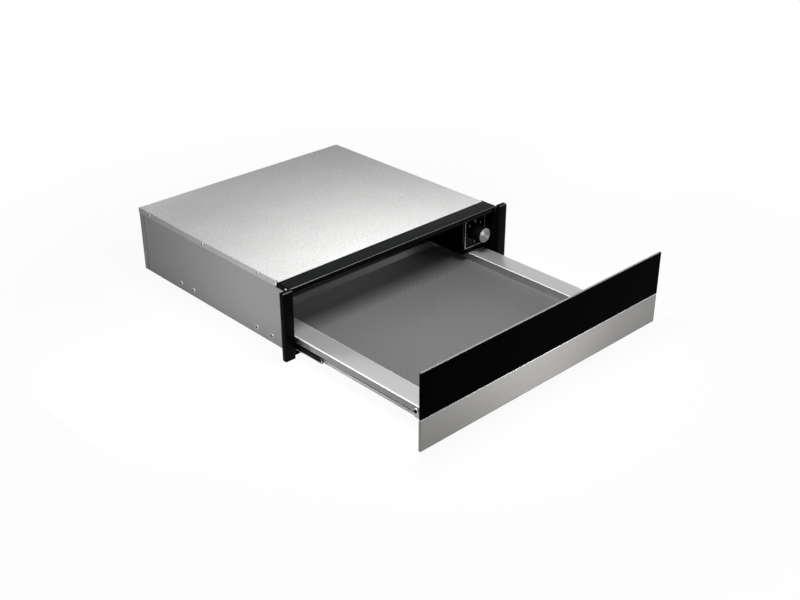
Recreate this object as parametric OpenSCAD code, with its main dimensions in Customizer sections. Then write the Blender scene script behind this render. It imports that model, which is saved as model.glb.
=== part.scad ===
// Built-in warming drawer with its drawer pulled open.
// Millimetres. X runs to the right, Y to the back and Z up.
// The origin lies on the surface that the casing stands on, midway between its sides
// and below the front edge of the cover.

/* [Casing] */
// Width over the cover
case_w = 506; // [496:1:520]
// Height from the base to the top of the cover
case_h = 131; // [128:1:150]
// Depth from the front edge of the cover to the back
case_d = 438.6; // [430:0.2:500]
// How far the side panels reach in front of the cover
front_reach = 33; // [30:0.5:38]
// Thickness of the casing sheets
sheet_t = 0.8; // [0.6:0.1:1]
// Thickness of the bottom plate
bottom_t = 1; // [0.8:0.1:1.2]
// Height of the flanges of the cover
cover_flange_h = 11.5; // [10:0.5:14]
// Depth of the side wraps of the back panel
wrap_w = 12.8; // [11:0.2:16]
// Slot between a side panel and its wrap
wrap_slot = 2.6; // [1.6:0.2:3.6]

/* [Front frame] */
// Height of the front face of the top rail
rail_face_h = 10; // [8:0.5:12]
// Width of an upright
upright_w = 21.4; // [20:0.2:24]
// Depth of an upright
upright_d = 9.3; // [8:0.1:11]
// Gap from the casing's side to an upright's inner edge
upright_gap = 3.7; // [3:0.1:5]
// How far an upright stands above the cover
upright_over = 1; // [0.5:0.1:3]
// Thickness of the frame's black sheet
frame_t = 1.2; // [1:0.1:1.5]
// Depth of the bottom rail
foot_rail_d = 13; // [10:0.5:16]
// Height of the bottom rail
foot_rail_h = 5; // [4:0.1:5.4]

/* [Drawer front] */
// Width of the glass panel
panel_w = 594; // [590:1:600]
// Height of the whole front
panel_h = 140; // [136:1:144]
// Height of the front's lower edge over the base
panel_lift = 2; // [1.5:0.5:4]
// Height of the glass
glass_h = 82.4; // [70:0.2:90]
// Thickness of the glass and depth of the steel strip
panel_t = 4; // [3:0.5:6]
// Thickness of the sheet that carries the front
carrier_t = 1.2; // [1:0.1:1.6]
// Inset of that sheet from the edges of the front
carrier_inset = 5; // [4:0.5:8]

/* [Tray] */
// Height of the tray's side flanges over the base
tray_top = 37.4; // [36:0.2:39]
// Depth of the recess below the flanges
recess_d = 17; // [14:0.2:18]
// Width of a side flange
side_flange_w = 41; // [38:0.5:48]
// Width of the front flange
front_flange_w = 14; // [12:0.5:20]
// Width of the rear flange
rear_flange_w = 8; // [6:0.5:12]
// Height of the upturned front edge over the flange
upturn_h = 22.6; // [18:0.2:30]
// Gap between the tray's lip and the casing
tray_side_gap = 2.4; // [2:0.1:3]
// Gap behind the tray when it is closed
tray_rear_gap = 4; // [3:0.5:8]
// Thickness of the mat
mat_t = 1.6; // [1.2:0.1:2]
// How far the drawer travels
travel = 341; // [320:1:344]

/* [Runners] */
// Height of the runners' centre line over the base
runner_z = 15.2; // [15:0.1:15.6]
// Height of the outer member
runner_h = 18; // [17.8:0.1:18.2]
// Depth of the outer member
runner_d = 11; // [10.8:0.1:11.4]
// Length of the outer and the inner member
runner_len = 304; // [290:1:310]
// Set-back of the outer member's end from the cover's front edge
runner_back = 18; // [16:0.5:20]
// Length of the middle member
middle_len = 236; // [220:1:240]
// How far the middle member reaches past the outer one when open
middle_out = 118; // [110:1:120]
// Diameter of the bearing balls
ball_d = 1.6; // [1.5:0.05:1.7]

/* [Control] */
// Distance of the control panel's face behind the cover's front edge, negative when in front
control_face = -12; // [-14:0.5:-11]
// Width of the control box
box_w = 65.4; // [60:0.2:70]
// Height of the control panel's lower edge over the base
box_low = 40; // [39.5:0.5:44]
// Depth of the control box
box_d = 115; // [90:1:130]
// Distance from the dial's axis to the inside of the casing's side
dial_in = 30.1; // [29:0.1:32]
// Height of the dial's axis over the base
dial_z = 80; // [78:0.5:84]
// Diameter of the knob
knob_d = 31; // [28:0.5:34]
// Length of the knob without its cap
knob_len = 25; // [20:0.5:26]
// Diameter of the regulator's shaft
shaft_d = 6; // [5:0.5:7]
// Angle through which the knob turns
knob_turn = 288; // [180:1:300]

/* [Heating] */
// Width of the air box
air_w = 320; // [280:2:330]
// Depth of the air box
air_d = 97; // [92:1:110]
// Height of the air box's underside over the base
air_low = 42; // [41:0.5:44]
// Space between the heating element and the fan wheel
wheel_clear = 6.4; // [5.4:0.2:10]
// Depth of the fan wheel
wheel_len = 22; // [16:1:24]
// Diameter of the heating element's tube
heater_d = 6; // [5:0.5:6.5]
// How far the fan motor's side lies inside the wheel's rim
motor_in = 1; // [0:0.5:5]
// Length of the fan motor
motor_len = 34; // [26:1:36]
// Bore of the cable gland
gland_bore = 9; // [7:0.5:10]

/* [Hidden] */
$fn = 48;

// Shared clearances and the overrun of every cut
over = 1;
fit_gap = 0.05;
hole_gap = 0.15;
run_gap = 0.3;

// Inside and outside of the casing
half_w = case_w / 2;
side_out = half_w - sheet_t;
side_in = side_out - sheet_t;
cover_low = case_h - sheet_t;
flange_low = case_h - cover_flange_h;
back_in = case_d - 2 * sheet_t;
back_out = case_d - sheet_t;
wrap_front = back_out - wrap_w;
panel_end = wrap_front - wrap_slot;

// Front frame
rail_proud = 1;
rail_tail = 6.2;
rail_front = -front_reach - rail_proud;
rail_low = case_h - rail_face_h;
upright_in = half_w + upright_gap;
upright_out = upright_in + upright_w;
upright_front = -front_reach - upright_d;
upright_top = case_h + upright_over;
rail_half = upright_in - run_gap;
side_flange_x = upright_out - frame_t / 2;
foot_rail_back = -front_reach + foot_rail_d;
foot_rail_t = 0.8;
bottom_front = foot_rail_back + run_gap;
bottom_lip_h = 4.2;
post_d = 7;
post_z_shares = [0.16, 0.85];
post_x = (upright_in + upright_out) / 2;

// Drawer front, in the open position
bumper_t = 0.8;
bumper_d = 10;
bumper_in = 29.6;
bumper_z_shares = [0.56, 0.85];
bumper_x = panel_w / 2 - bumper_in;
carrier_back = upright_front - bumper_t - run_gap - travel;
carrier_front = carrier_back - carrier_t;
panel_front = carrier_front - panel_t;
panel_top = panel_lift + panel_h;
glass_low = panel_top - glass_h;
panel_joint = 0.2;
strip_extra = 0.3;
strip_t = 0.8;
strip_top = glass_low - panel_joint;

// Tray, in the open position
tray_t = 0.8;
tray_half = side_in - tray_side_gap;
tray_under = tray_top - tray_t;
tray_front = carrier_back;
tray_rear = back_in - tray_rear_gap - travel;
floor_top = tray_top - recess_d;
recess_half = tray_half - side_flange_w;
recess_front = tray_front + front_flange_w;
recess_rear = tray_rear - rear_flange_w;
mat_gap = 0.8;
lip_gap = 0.4;
lip_low = runner_z + runner_h / 2 + lip_gap;
upturn_top = tray_top + upturn_h;
upturn_inset = 14;
upturn_half = tray_half - upturn_inset;

// Runner sections, measured from the inside of the casing's side
runner_t = 1;
outer_tip = side_in - runner_d;
outer_web = side_in - runner_t;
ball_gap = 0.3;
race_gap = ball_d + 2 * ball_gap;
outer_half = runner_h / 2 - runner_t;
middle_half = outer_half - race_gap;
middle_in_half = middle_half - runner_t;
inner_half = middle_in_half - race_gap;
cage_t = 0.5;
cage_web_out = outer_web - 1.3 * runner_t;
middle_web_out = cage_web_out - 2 * cage_t;
middle_web_in = middle_web_out - runner_t;
inner_cage_out = middle_web_in - 2 * cage_t;
inner_flange_tip = inner_cage_out - 2 * cage_t;
tip_gap = 0.4;
inner_web_out = outer_tip - 2 * tip_gap;
inner_web_in = inner_web_out - runner_t;
middle_tip = inner_web_out + tip_gap;
inner_flange_t = 0.8;
runner_front = runner_back;
middle_front = runner_back - middle_out;
inner_front = runner_back - travel;
outer_ball_x = (middle_tip + middle_web_out) / 2;
inner_ball_x = (middle_tip + inner_flange_tip) / 2;
outer_ball_z = (outer_half + middle_half) / 2;
inner_ball_z = (middle_in_half + inner_half) / 2;
outer_cage_len = 70;
outer_cage_lead = 12;
outer_cage_front = runner_back + outer_cage_lead;
inner_cage_len = 60;
inner_cage_lead = 8;
inner_cage_front = middle_front + inner_cage_lead;
cage_balls = 6;

// Support under the tray's flange, and the bracket at the front
support_t = 1;
support_flange_w = 12;
support_drop = 6;
support_lead = 3;
support_tail = 7;
support_low = runner_z - support_drop;
support_front = tray_front + support_lead;
support_rear = inner_front + runner_len + support_tail;
support_out = inner_web_in;
bracket_t = 2;
bracket_out = tray_half - tray_t;
bracket_low = 14;
bracket_top = tray_under - run_gap;
bracket_rear = runner_back - travel - 3 * bracket_t / 2;
bracket_flange_in = recess_half + 4 * bracket_t;

// Screw sizes and places
screw_r = 1.9;
small_screw_r = 1.4;
runner_head_r = 3.8;
runner_head_t = 2;
runner_screw_shares = [0.0296, 0.1743, 0.8191, 0.9572];
runner_screw_ys = [for (share = runner_screw_shares) runner_back + runner_len * share];
relief_w = 2.2;
cover_head_r = 2.7;
cover_head_t = 1.1;
cover_screw_shares = [0.02, 0.137, 0.513, 0.914];
cover_screw_z = flange_low + 0.62 * cover_flange_h;
rail_head_r = 2.6;
rail_head_t = 1.8;
rail_screw_in = 11;
rail_screw_y = rail_front + rail_screw_in;
rail_screw_z = (rail_low + case_h) / 2;
back_screw_z = 35;
bolt_head_r = 3.5;
bolt_head_t = 1.8;
bolt_y = bracket_rear - bolt_head_r - bracket_t;
bolt_rise = 2.8;
bolt_z = lip_low + bolt_rise;
carrier_screw_x_shares = [0.25, 0.75];
carrier_screw_z = (tray_top + upturn_top) / 2;
rivet_r = 1;
rivet_head_r = 1.5;
rivet_head_t = 0.9;
rivet_shares = [0.06, 0.5, 0.94];
recess_cut_d = 0.7;
recess_cut_w = 0.9;

// Control
box_left = side_in - box_w;
box_rear = control_face + box_d;
plate_t = 2;
dial_x = side_in - dial_in;
knob_gap = 1.5;
knob_back = control_face - knob_gap;
knob_front = knob_back - knob_len;
cap_t = 1;
cap_rim = 0.8;
knob_edge = 1;
bushing_wall = 2;
bushing_r = shaft_d / 2 + bushing_wall;
nut_t = 1.1;
nut_r = bushing_r + bushing_wall;
regulator_w = 34;
regulator_h = 30;
regulator_d = 28;
regulator_front = control_face + plate_t;
regulator_rear = regulator_front + regulator_d;
box_flange = 10;
pointer_r = 0.9;
pointer_d = 0.4;
pointer_share = 0.68;

// Heating
air_x0 = -190;
air_x1 = air_x0 + air_w;
air_front = back_in - air_d;
air_cx = (air_x0 + air_x1) / 2;
air_floor = air_low + sheet_t;
fan_z = (air_floor + cover_low) / 2;
air_half = (cover_low - air_floor) / 2;
heater_gap = 3.3;
heater_r = air_half - heater_gap - heater_d / 2;
wheel_d = 2 * (heater_r - wheel_clear) - heater_d;
motor_d = wheel_d - 2 * motor_in;
heater_open_angle = 24;
heater_end_r = 0.6 * heater_d;
heater_end_x = heater_r * sin(heater_open_angle / 2);
heater_end_z = fan_z - heater_r * cos(heater_open_angle / 2);
grille_depth = 10;
wheel_front = air_front + grille_depth;
wheel_back = wheel_front + wheel_len;
wheel_gap = 5;
motor_plate_y = wheel_back + wheel_gap;
heater_y = (wheel_front + wheel_back) / 2;
fan_shaft_r = 2.5;
motor_y0 = motor_plate_y + sheet_t;
motor_y1 = motor_y0 + motor_len;
blade_count = 12;
blade_t = 0.8;
wheel_disc_t = 1;
hub_r = 7;
shaft_into_motor = 14;
motor_cap_r = 12;
motor_cap_len = 3;
motor_ear_r = 4;
motor_screw_r = motor_d / 2 + 0.75 * motor_ear_r;
slot_w = 3;
slot_pitch = 6.4;
grille_slots = 9;
outlet_slots = 14;
outlet_h = 50;
vent_slots = 11;
vent_h = 24;
cutout_r = 8;
cutout_len = 7;
cutout_in = 60;
cutout_up = 22;
cutout_x = air_x0 + cutout_in;
cutout_z = air_low + cutout_up;

// Wiring and inlet
gland_x = 214;
gland_z = 52;
gland_wall = 3.2;
gland_r = gland_bore / 2 + gland_wall;
gland_lip = 3;
gland_flange_r = gland_r + gland_lip;
gland_out = 5;
gland_in = 9;
block_gap = 1;
block_x0 = box_left + 2 * block_gap;
block_x1 = side_in - block_gap;
block_low = 68;
block_h = 34;
block_d = 22;
block_ways = 3;
loom_d = 6;
loom_z = 90;
loom_in = 16.4;
loom_x = side_in - loom_in;
clip_t = 1.2;
clip_len = 8;
clip_shares = [0.2, 0.5, 0.8];
lead_z = block_low + block_h / 2;

// Colours of the finishes
galvanised = [0.72, 0.73, 0.74];
plain_steel = [0.56, 0.56, 0.57];
black_paint = [0.05, 0.05, 0.05];
stainless = [0.75, 0.75, 0.76];
zinc = [0.82, 0.83, 0.84];
mat_grey = [0.36, 0.36, 0.36];
knob_black = [0.03, 0.03, 0.03];

// A straight block from one corner to the opposite one
module span(x0, x1, y0, y1, z0, z1)
    translate([x0, y0, z0])
        cube([x1 - x0, y1 - y0, z1 - z0]);

// Round bars along each axis
module rod_x(x0, x1, y, z, r)
    translate([x0, y, z])
        rotate([0, 90, 0])
            cylinder(h = x1 - x0, r = r);

module rod_y(y0, y1, x, z, r)
    translate([x, y1, z])
        rotate([90, 0, 0])
            cylinder(h = y1 - y0, r = r);

// Left copies are mirror images of the right ones
module left_of()
    mirror([1, 0, 0])
        children();

module both_sides() {
    children();
    left_of()
        children();
}

// Pan-headed screw along X: its head starts at x and points outwards
module screw_x(x, y, z, shank, r, head_r, head_t) {
    rod_x(x - shank, x, y, z, r);
    difference() {
        rod_x(x, x + head_t, y, z, head_r);
        for (turn = [0, 90])
            translate([x + head_t, y, z])
                rotate([turn, 0, 0])
                    cross_slot(head_r);
    }
}

module cross_slot(head_r)
    span(-recess_cut_d, over, -recess_cut_w / 2, recess_cut_w / 2, -head_r * 0.6, head_r * 0.6);

// The casing
module top_cover() {
    color(galvanised)
    difference() {
        union() {
            span(-half_w, half_w, 0, case_d, cover_low, case_h);
            both_sides()
                span(side_out, half_w, run_gap, case_d, flange_low, case_h);
            span(-half_w, half_w, back_out, case_d, flange_low, case_h);
        }
        both_sides() {
            for (share = cover_screw_shares)
                rod_x(side_out - over, half_w + over, case_d * share, cover_screw_z,
                      small_screw_r + hole_gap);
            span(half_w - relief_w, half_w + over, rail_tail, rail_tail + relief_w,
                 case_h - relief_w, case_h + over);
        }
    }
}

module side_panel() {
    color(plain_steel)
    difference() {
        union() {
            span(side_in, side_out, -front_reach, panel_end, 0, cover_low);
            span(side_in - sheet_t, side_out, panel_end - sheet_t, panel_end, bottom_t, cover_low);
            span(side_in - sheet_t, side_in, panel_end - sheet_t, back_in, bottom_t, cover_low);
            span(side_in, side_flange_x, -front_reach, -front_reach + sheet_t, 0,
                 rail_low - run_gap);
        }
        for (y = runner_screw_ys)
            rod_x(side_in - over, side_out + over, y, runner_z, screw_r + hole_gap);
        for (share = cover_screw_shares)
            rod_x(side_in - sheet_t - over, side_out + over, case_d * share, cover_screw_z,
                  small_screw_r + hole_gap);
        rod_x(side_in - sheet_t - over, side_out + over, rail_screw_y, rail_screw_z,
              small_screw_r + hole_gap);
        rod_x(side_in - sheet_t - over, side_out + over, back_out - wrap_w / 2, back_screw_z,
              small_screw_r + hole_gap);
        for (share = post_z_shares)
            rod_y(-front_reach - over, -front_reach + sheet_t + over, post_x, case_h * share,
                  small_screw_r + hole_gap);
    }
}

module left_side_panel()
    left_of()
        side_panel();

module right_side_panel()
    side_panel();

module back_panel() {
    color(plain_steel)
    difference() {
        union() {
            span(-side_out, side_out, back_in, back_out, 0, cover_low);
            both_sides()
                span(side_in, side_out, wrap_front, back_out, 0, cover_low);
        }
        for (i = [0 : vent_slots - 1])
            span(air_cx + (i - (vent_slots - 1) / 2) * slot_pitch - slot_w / 2,
                 air_cx + (i - (vent_slots - 1) / 2) * slot_pitch + slot_w / 2,
                 back_in - over, back_out + over, fan_z - vent_h / 2, fan_z + vent_h / 2);
        rod_y(back_in - over, back_out + over, gland_x, gland_z, gland_r + hole_gap);
        both_sides()
            rod_x(side_in - over, side_out + over, back_out - wrap_w / 2, back_screw_z,
                  small_screw_r + hole_gap);
    }
}

module bottom_plate() {
    color(plain_steel)
    union() {
        span(-side_in, side_in, bottom_front, back_in, 0, bottom_t);
        both_sides()
            span(side_in - sheet_t, side_in, bottom_front, panel_end - sheet_t - run_gap,
                 0, bottom_t + bottom_lip_h);
    }
}

// The front frame
module front_top_rail() {
    color(black_paint)
    difference() {
        union() {
            span(-rail_half, rail_half, rail_front, 0, cover_low, case_h);
            span(-rail_half, rail_half, rail_front, rail_front + sheet_t, rail_low, case_h);
            both_sides() {
                span(rail_half - sheet_t, rail_half, rail_front, 0, rail_low, case_h);
                span(rail_half - sheet_t, rail_half, rail_front, rail_tail, rail_low, cover_low);
            }
        }
        both_sides()
            rod_x(rail_half - sheet_t - over, rail_half + over, rail_screw_y, rail_screw_z,
                  small_screw_r + hole_gap);
    }
}

module front_bottom_rail() {
    color(black_paint)
    union() {
        span(-side_in, side_in, -front_reach, foot_rail_back, 0, foot_rail_t);
        span(-side_in, side_in, -front_reach, foot_rail_back, foot_rail_h - foot_rail_t,
             foot_rail_h);
        span(-side_in, side_in, -front_reach, -front_reach + foot_rail_t, 0, foot_rail_h);
    }
}

module upright() {
    color(black_paint)
    difference() {
        union() {
            span(upright_in, upright_out, upright_front, upright_front + frame_t, 0, upright_top);
            span(upright_in, upright_in + frame_t, upright_front, -front_reach, 0, upright_top);
            span(upright_out - frame_t, upright_out, upright_front, -front_reach, 0, upright_top);
            span(upright_in, upright_out, upright_front, -front_reach, upright_top - frame_t,
                 upright_top);
            span(upright_in, upright_out, upright_front, -front_reach, 0, frame_t);
            for (share = post_z_shares)
                rod_y(upright_front, -front_reach, post_x, case_h * share, post_d / 2);
        }
        for (share = post_z_shares)
            rod_y(upright_front + 2 * frame_t, -front_reach + over, post_x, case_h * share,
                  small_screw_r + fit_gap);
    }
}

module left_upright()
    left_of()
        upright();

module right_upright()
    upright();

// The control
module control_panel() {
    color(knob_black)
    difference() {
        span(box_left, side_in - run_gap, control_face, control_face + plate_t, box_low,
             cover_low);
        rod_y(control_face - over, control_face + plate_t + over, dial_x, dial_z,
              bushing_r + hole_gap);
    }
}

module control_box() {
    y0 = control_face + plate_t;
    color(black_paint)
    difference() {
        union() {
            span(box_left, box_left + sheet_t, y0, box_rear, box_low, cover_low);
            span(box_left, side_in, y0, box_rear, box_low, box_low + sheet_t);
            span(side_in - sheet_t, side_in, y0, box_rear, box_low, box_low + box_flange);
            span(box_left, side_in, box_rear - sheet_t, box_rear, box_low, cover_low);
            span(box_left, box_left + box_flange, y0, box_rear, cover_low - sheet_t, cover_low);
        }
        rod_y(box_rear - sheet_t - over, box_rear + over, loom_x, loom_z, loom_d / 2 + hole_gap);
    }
}

module regulator() {
    color(plain_steel)
    difference() {
        union() {
            span(dial_x - regulator_w / 2, dial_x + regulator_w / 2, regulator_front,
                 regulator_rear, dial_z - regulator_h / 2, dial_z + regulator_h / 2);
            rod_y(control_face - nut_t, regulator_front, dial_x, dial_z, bushing_r);
            translate([dial_x, control_face, dial_z])
                rotate([90, 0, 0])
                    cylinder(h = nut_t, r = nut_r, $fn = 6);
        }
        rod_y(control_face - nut_t - over, regulator_rear - plate_t, dial_x, dial_z,
              shaft_d / 2 + fit_gap);
    }
}

module regulator_shaft() {
    color(zinc)
    rod_y(knob_front + cap_t + 2 * plate_t, regulator_rear - 2 * plate_t, dial_x, dial_z,
          shaft_d / 2);
}

module control_knob() {
    color(knob_black)
    difference() {
        union() {
            rod_y(knob_front + knob_edge, knob_back, dial_x, dial_z, knob_d / 2);
            translate([dial_x, knob_front + knob_edge, dial_z])
                rotate([90, 0, 0])
                    cylinder(h = knob_edge, r1 = knob_d / 2, r2 = knob_d / 2 - knob_edge / 2);
        }
        rod_y(knob_front - over, knob_front + cap_t, dial_x, dial_z, knob_d / 2 - cap_rim);
        rod_y(knob_front + cap_t + 2 * plate_t, knob_back + over, dial_x, dial_z, shaft_d / 2);
    }
}

module knob_cap() {
    color(stainless)
    difference() {
        rod_y(knob_front, knob_front + cap_t, dial_x, dial_z, knob_d / 2 - cap_rim - fit_gap);
        rod_y(knob_front - over, knob_front + pointer_d, dial_x,
              dial_z + pointer_share * knob_d / 2, pointer_r);
    }
}

// The heating at the back
module air_box() {
    color(plain_steel)
    difference() {
        union() {
            span(air_x0, air_x1, air_front, air_front + sheet_t, air_low, cover_low);
            span(air_x0, air_x1, air_front, back_in, air_low, air_floor);
            span(air_x0, air_x0 + sheet_t, air_front, back_in, air_low, cover_low);
            span(air_x1 - sheet_t, air_x1, air_front, back_in, air_low, cover_low);
        }
        intersection() {
            for (i = [0 : grille_slots - 1])
                span(air_cx - wheel_d, air_cx + wheel_d, air_front - over,
                     air_front + sheet_t + over,
                     fan_z + (i - (grille_slots - 1) / 2) * slot_pitch - slot_w / 2,
                     fan_z + (i - (grille_slots - 1) / 2) * slot_pitch + slot_w / 2);
            rod_y(air_front - 2 * over, air_front + sheet_t + 2 * over, air_cx, fan_z,
                  wheel_d / 2);
        }
        for (side = [-1, 1], i = [0 : outlet_slots - 1])
            translate([air_cx + side * (heater_r + (i + 2) * slot_pitch), air_front,
                       fan_z])
                span(-slot_w / 2, slot_w / 2, -over, sheet_t + over, -outlet_h / 2,
                     outlet_h / 2);
        rod_x(air_x1 - sheet_t - over, air_x1 + over, back_in - block_d / 2, lead_z,
              loom_d / 2 + hole_gap);
    }
}

module motor_plate() {
    color(galvanised)
    difference() {
        span(air_x0 + sheet_t, air_x1 - sheet_t, motor_plate_y, motor_plate_y + sheet_t,
             air_floor, cover_low);
        rod_y(motor_plate_y - over, motor_plate_y + sheet_t + over, air_cx, fan_z, hub_r);
        for (side = [-1, 1]) {
            rod_y(motor_plate_y - over, motor_plate_y + sheet_t + over,
                  air_cx + side * motor_screw_r, fan_z, small_screw_r + hole_gap);
            rod_y(motor_plate_y - over, motor_plate_y + sheet_t + over,
                  air_cx + side * heater_end_x, heater_end_z, heater_end_r + hole_gap);
        }
    }
}

module fan_motor() {
    color(galvanised)
    difference() {
        union() {
            rod_y(motor_y0, motor_y1, air_cx, fan_z, motor_d / 2);
            rod_y(motor_y1, motor_y1 + motor_cap_len, air_cx, fan_z, motor_cap_r);
            for (side = [-1, 1]) {
                rod_y(motor_y0, motor_y0 + motor_ear_r, air_cx + side * motor_screw_r, fan_z,
                      motor_ear_r);
                span(air_cx + min(0, side * motor_screw_r), air_cx + max(0, side * motor_screw_r),
                     motor_y0, motor_y0 + motor_ear_r, fan_z - motor_ear_r, fan_z + motor_ear_r);
            }
        }
        rod_y(motor_y0 - over, motor_y0 + shaft_into_motor + over, air_cx, fan_z,
              fan_shaft_r + fit_gap);
        for (side = [-1, 1])
            rod_y(motor_y0 - over, motor_y0 + motor_ear_r + over, air_cx + side * motor_screw_r,
                  fan_z, small_screw_r + fit_gap);
    }
}

module fan_shaft() {
    color(zinc)
    rod_y(wheel_front + wheel_disc_t, motor_y0 + shaft_into_motor, air_cx, fan_z, fan_shaft_r);
}

module fan_wheel() {
    color(galvanised)
    translate([air_cx, 0, fan_z])
    difference() {
        union() {
            rod_y(wheel_back - wheel_disc_t, wheel_back, 0, 0, wheel_d / 2);
            rod_y(wheel_front + wheel_disc_t, wheel_back, 0, 0, hub_r);
            difference() {
                rod_y(wheel_front, wheel_front + wheel_disc_t, 0, 0, wheel_d / 2);
                rod_y(wheel_front - over, wheel_front + wheel_disc_t + over, 0, 0,
                      wheel_d / 2 - hub_r);
            }
            for (i = [0 : blade_count - 1])
                rotate([0, i * 360 / blade_count, 0])
                    span(hub_r - blade_t, wheel_d / 2 - blade_t, wheel_front, wheel_back,
                         -blade_t / 2, blade_t / 2);
        }
        rod_y(wheel_front - over, wheel_back + over, 0, 0, fan_shaft_r);
    }
}

module heating_element() {
    color(plain_steel)
    union() {
        translate([air_cx, heater_y, fan_z])
            rotate([90, 0, 0])
                rotate([0, 0, heater_open_angle / 2 - 90])
                    rotate_extrude(angle = 360 - heater_open_angle)
                        translate([heater_r, 0])
                            circle(r = heater_d / 2);
        for (side = [-1, 1])
            rod_y(heater_y - heater_end_r, motor_plate_y + heater_d * 2,
                  air_cx + side * heater_end_x, heater_end_z, heater_end_r);
    }
}

module thermal_cutout() {
    color(zinc)
    union() {
        rod_y(motor_plate_y - cutout_len, motor_plate_y, cutout_x, cutout_z, cutout_r);
        for (side = [-1, 1])
            span(cutout_x + side * cutout_r / 2 - blade_t, cutout_x + side * cutout_r / 2 + blade_t,
                 motor_plate_y - 2 * cutout_len, motor_plate_y - cutout_len + blade_t,
                 cutout_z - blade_t * 2, cutout_z + blade_t * 2);
    }
}

// Wiring and inlet
module terminal_block() {
    way_w = (block_x1 - block_x0) / (block_ways + 1);
    color([0.85, 0.84, 0.8])
    difference() {
        span(block_x0, block_x1, back_in - block_d, back_in, block_low, block_low + block_h);
        for (i = [1 : block_ways])
            translate([block_x0 + i * way_w, back_in - block_d / 2, block_low - over])
                cylinder(h = block_h / 3, r = way_w / 4);
    }
}

module cable_gland() {
    color(knob_black)
    difference() {
        union() {
            rod_y(back_in - gland_in, back_out + gland_out, gland_x, gland_z, gland_r);
            rod_y(back_out, back_out + gland_out, gland_x, gland_z, gland_flange_r);
            rod_y(back_in - gland_in / 2, back_in, gland_x, gland_z, gland_flange_r);
        }
        rod_y(back_in - gland_in - over, back_out + gland_out + over, gland_x, gland_z,
              gland_bore / 2);
    }
}

module wiring_loom() {
    color([0.75, 0.74, 0.7])
    rod_y(regulator_rear, back_in - block_d, loom_x, loom_z, loom_d / 2);
}

module loom_clips() {
    y0 = box_rear;
    y1 = back_in - block_d;
    ring_r = loom_d / 2 + fit_gap + clip_t;
    color([0.9, 0.9, 0.88])
    for (share = clip_shares)
        translate([0, y0 + (y1 - y0) * share, 0])
            difference() {
                union() {
                    rod_y(-clip_len / 2, clip_len / 2, loom_x, loom_z, ring_r);
                    span(loom_x, side_in, -clip_len / 2, clip_len / 2, loom_z - ring_r,
                         loom_z - ring_r + clip_t);
                    span(side_in - clip_t, side_in, -clip_len / 2, clip_len / 2,
                         loom_z - 2 * ring_r, loom_z + ring_r);
                }
                rod_y(-clip_len, clip_len, loom_x, loom_z, loom_d / 2 + fit_gap);
            }
}

module heater_lead() {
    color([0.75, 0.74, 0.7])
    rod_x(air_x1 - sheet_t, block_x0, back_in - block_d / 2, lead_z, loom_d / 2);
}

// The runners, drawn at the right and mirrored for the left
module channel(web_in, web_out, tip, half, t, y0, y1) {
    span(web_in, web_out, y0, y1, runner_z - half, runner_z + half);
    for (side = [-1, 1])
        span(min(tip, web_in), max(tip, web_out), y0, y1,
             runner_z + (side > 0 ? half - t : -half),
             runner_z + (side > 0 ? half : t - half));
}

module runner_outer() {
    color(zinc)
    difference() {
        channel(outer_web, side_in, outer_tip, runner_h / 2, runner_t, runner_front,
                runner_front + runner_len);
        for (y = runner_screw_ys)
            rod_x(outer_web - over, side_in + over, y, runner_z, screw_r + hole_gap);
    }
}

module runner_middle() {
    color(zinc)
    channel(middle_web_in, middle_web_out, middle_tip, middle_half, runner_t, middle_front,
            middle_front + middle_len);
}

module runner_inner() {
    color(zinc)
    difference() {
        channel(inner_web_in, inner_web_out, inner_flange_tip, inner_half, inner_flange_t,
                inner_front, inner_front + runner_len);
        for (share = rivet_shares)
            rod_x(inner_web_in - over, inner_web_out + over, inner_front + runner_len * share,
                  runner_z, rivet_r + fit_gap);
    }
}

module ball_cage(web_in, web_out, tip, ball_x, ball_z, front, length) {
    pitch = length / cage_balls;
    color(plain_steel)
    difference() {
        channel(web_in, web_out, tip, ball_z + cage_t / 2, cage_t, front, front + length);
        for (side = [-1, 1], i = [0 : cage_balls - 1])
            translate([ball_x, front + (i + 0.5) * pitch, runner_z + side * ball_z - cage_t])
                cylinder(h = 2 * cage_t, r = ball_d / 2 + hole_gap);
    }
    color(zinc)
    for (side = [-1, 1], i = [0 : cage_balls - 1])
        translate([ball_x, front + (i + 0.5) * pitch, runner_z + side * ball_z])
            sphere(r = ball_d / 2, $fn = 24);
}

module ball_cage_outer()
    ball_cage(cage_web_out - cage_t, cage_web_out, middle_tip + cage_t, outer_ball_x,
              outer_ball_z, outer_cage_front, outer_cage_len);

module ball_cage_inner()
    ball_cage(inner_cage_out - cage_t, inner_cage_out, middle_tip + cage_t, inner_ball_x,
              inner_ball_z, inner_cage_front, inner_cage_len);

module runner_outer_left() left_of() runner_outer();
module runner_outer_right() runner_outer();
module runner_middle_left() left_of() runner_middle();
module runner_middle_right() runner_middle();
module runner_inner_left() left_of() runner_inner();
module runner_inner_right() runner_inner();
module ball_cage_outer_left() left_of() ball_cage_outer();
module ball_cage_outer_right() ball_cage_outer();
module ball_cage_inner_left() left_of() ball_cage_inner();
module ball_cage_inner_right() ball_cage_inner();

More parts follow.
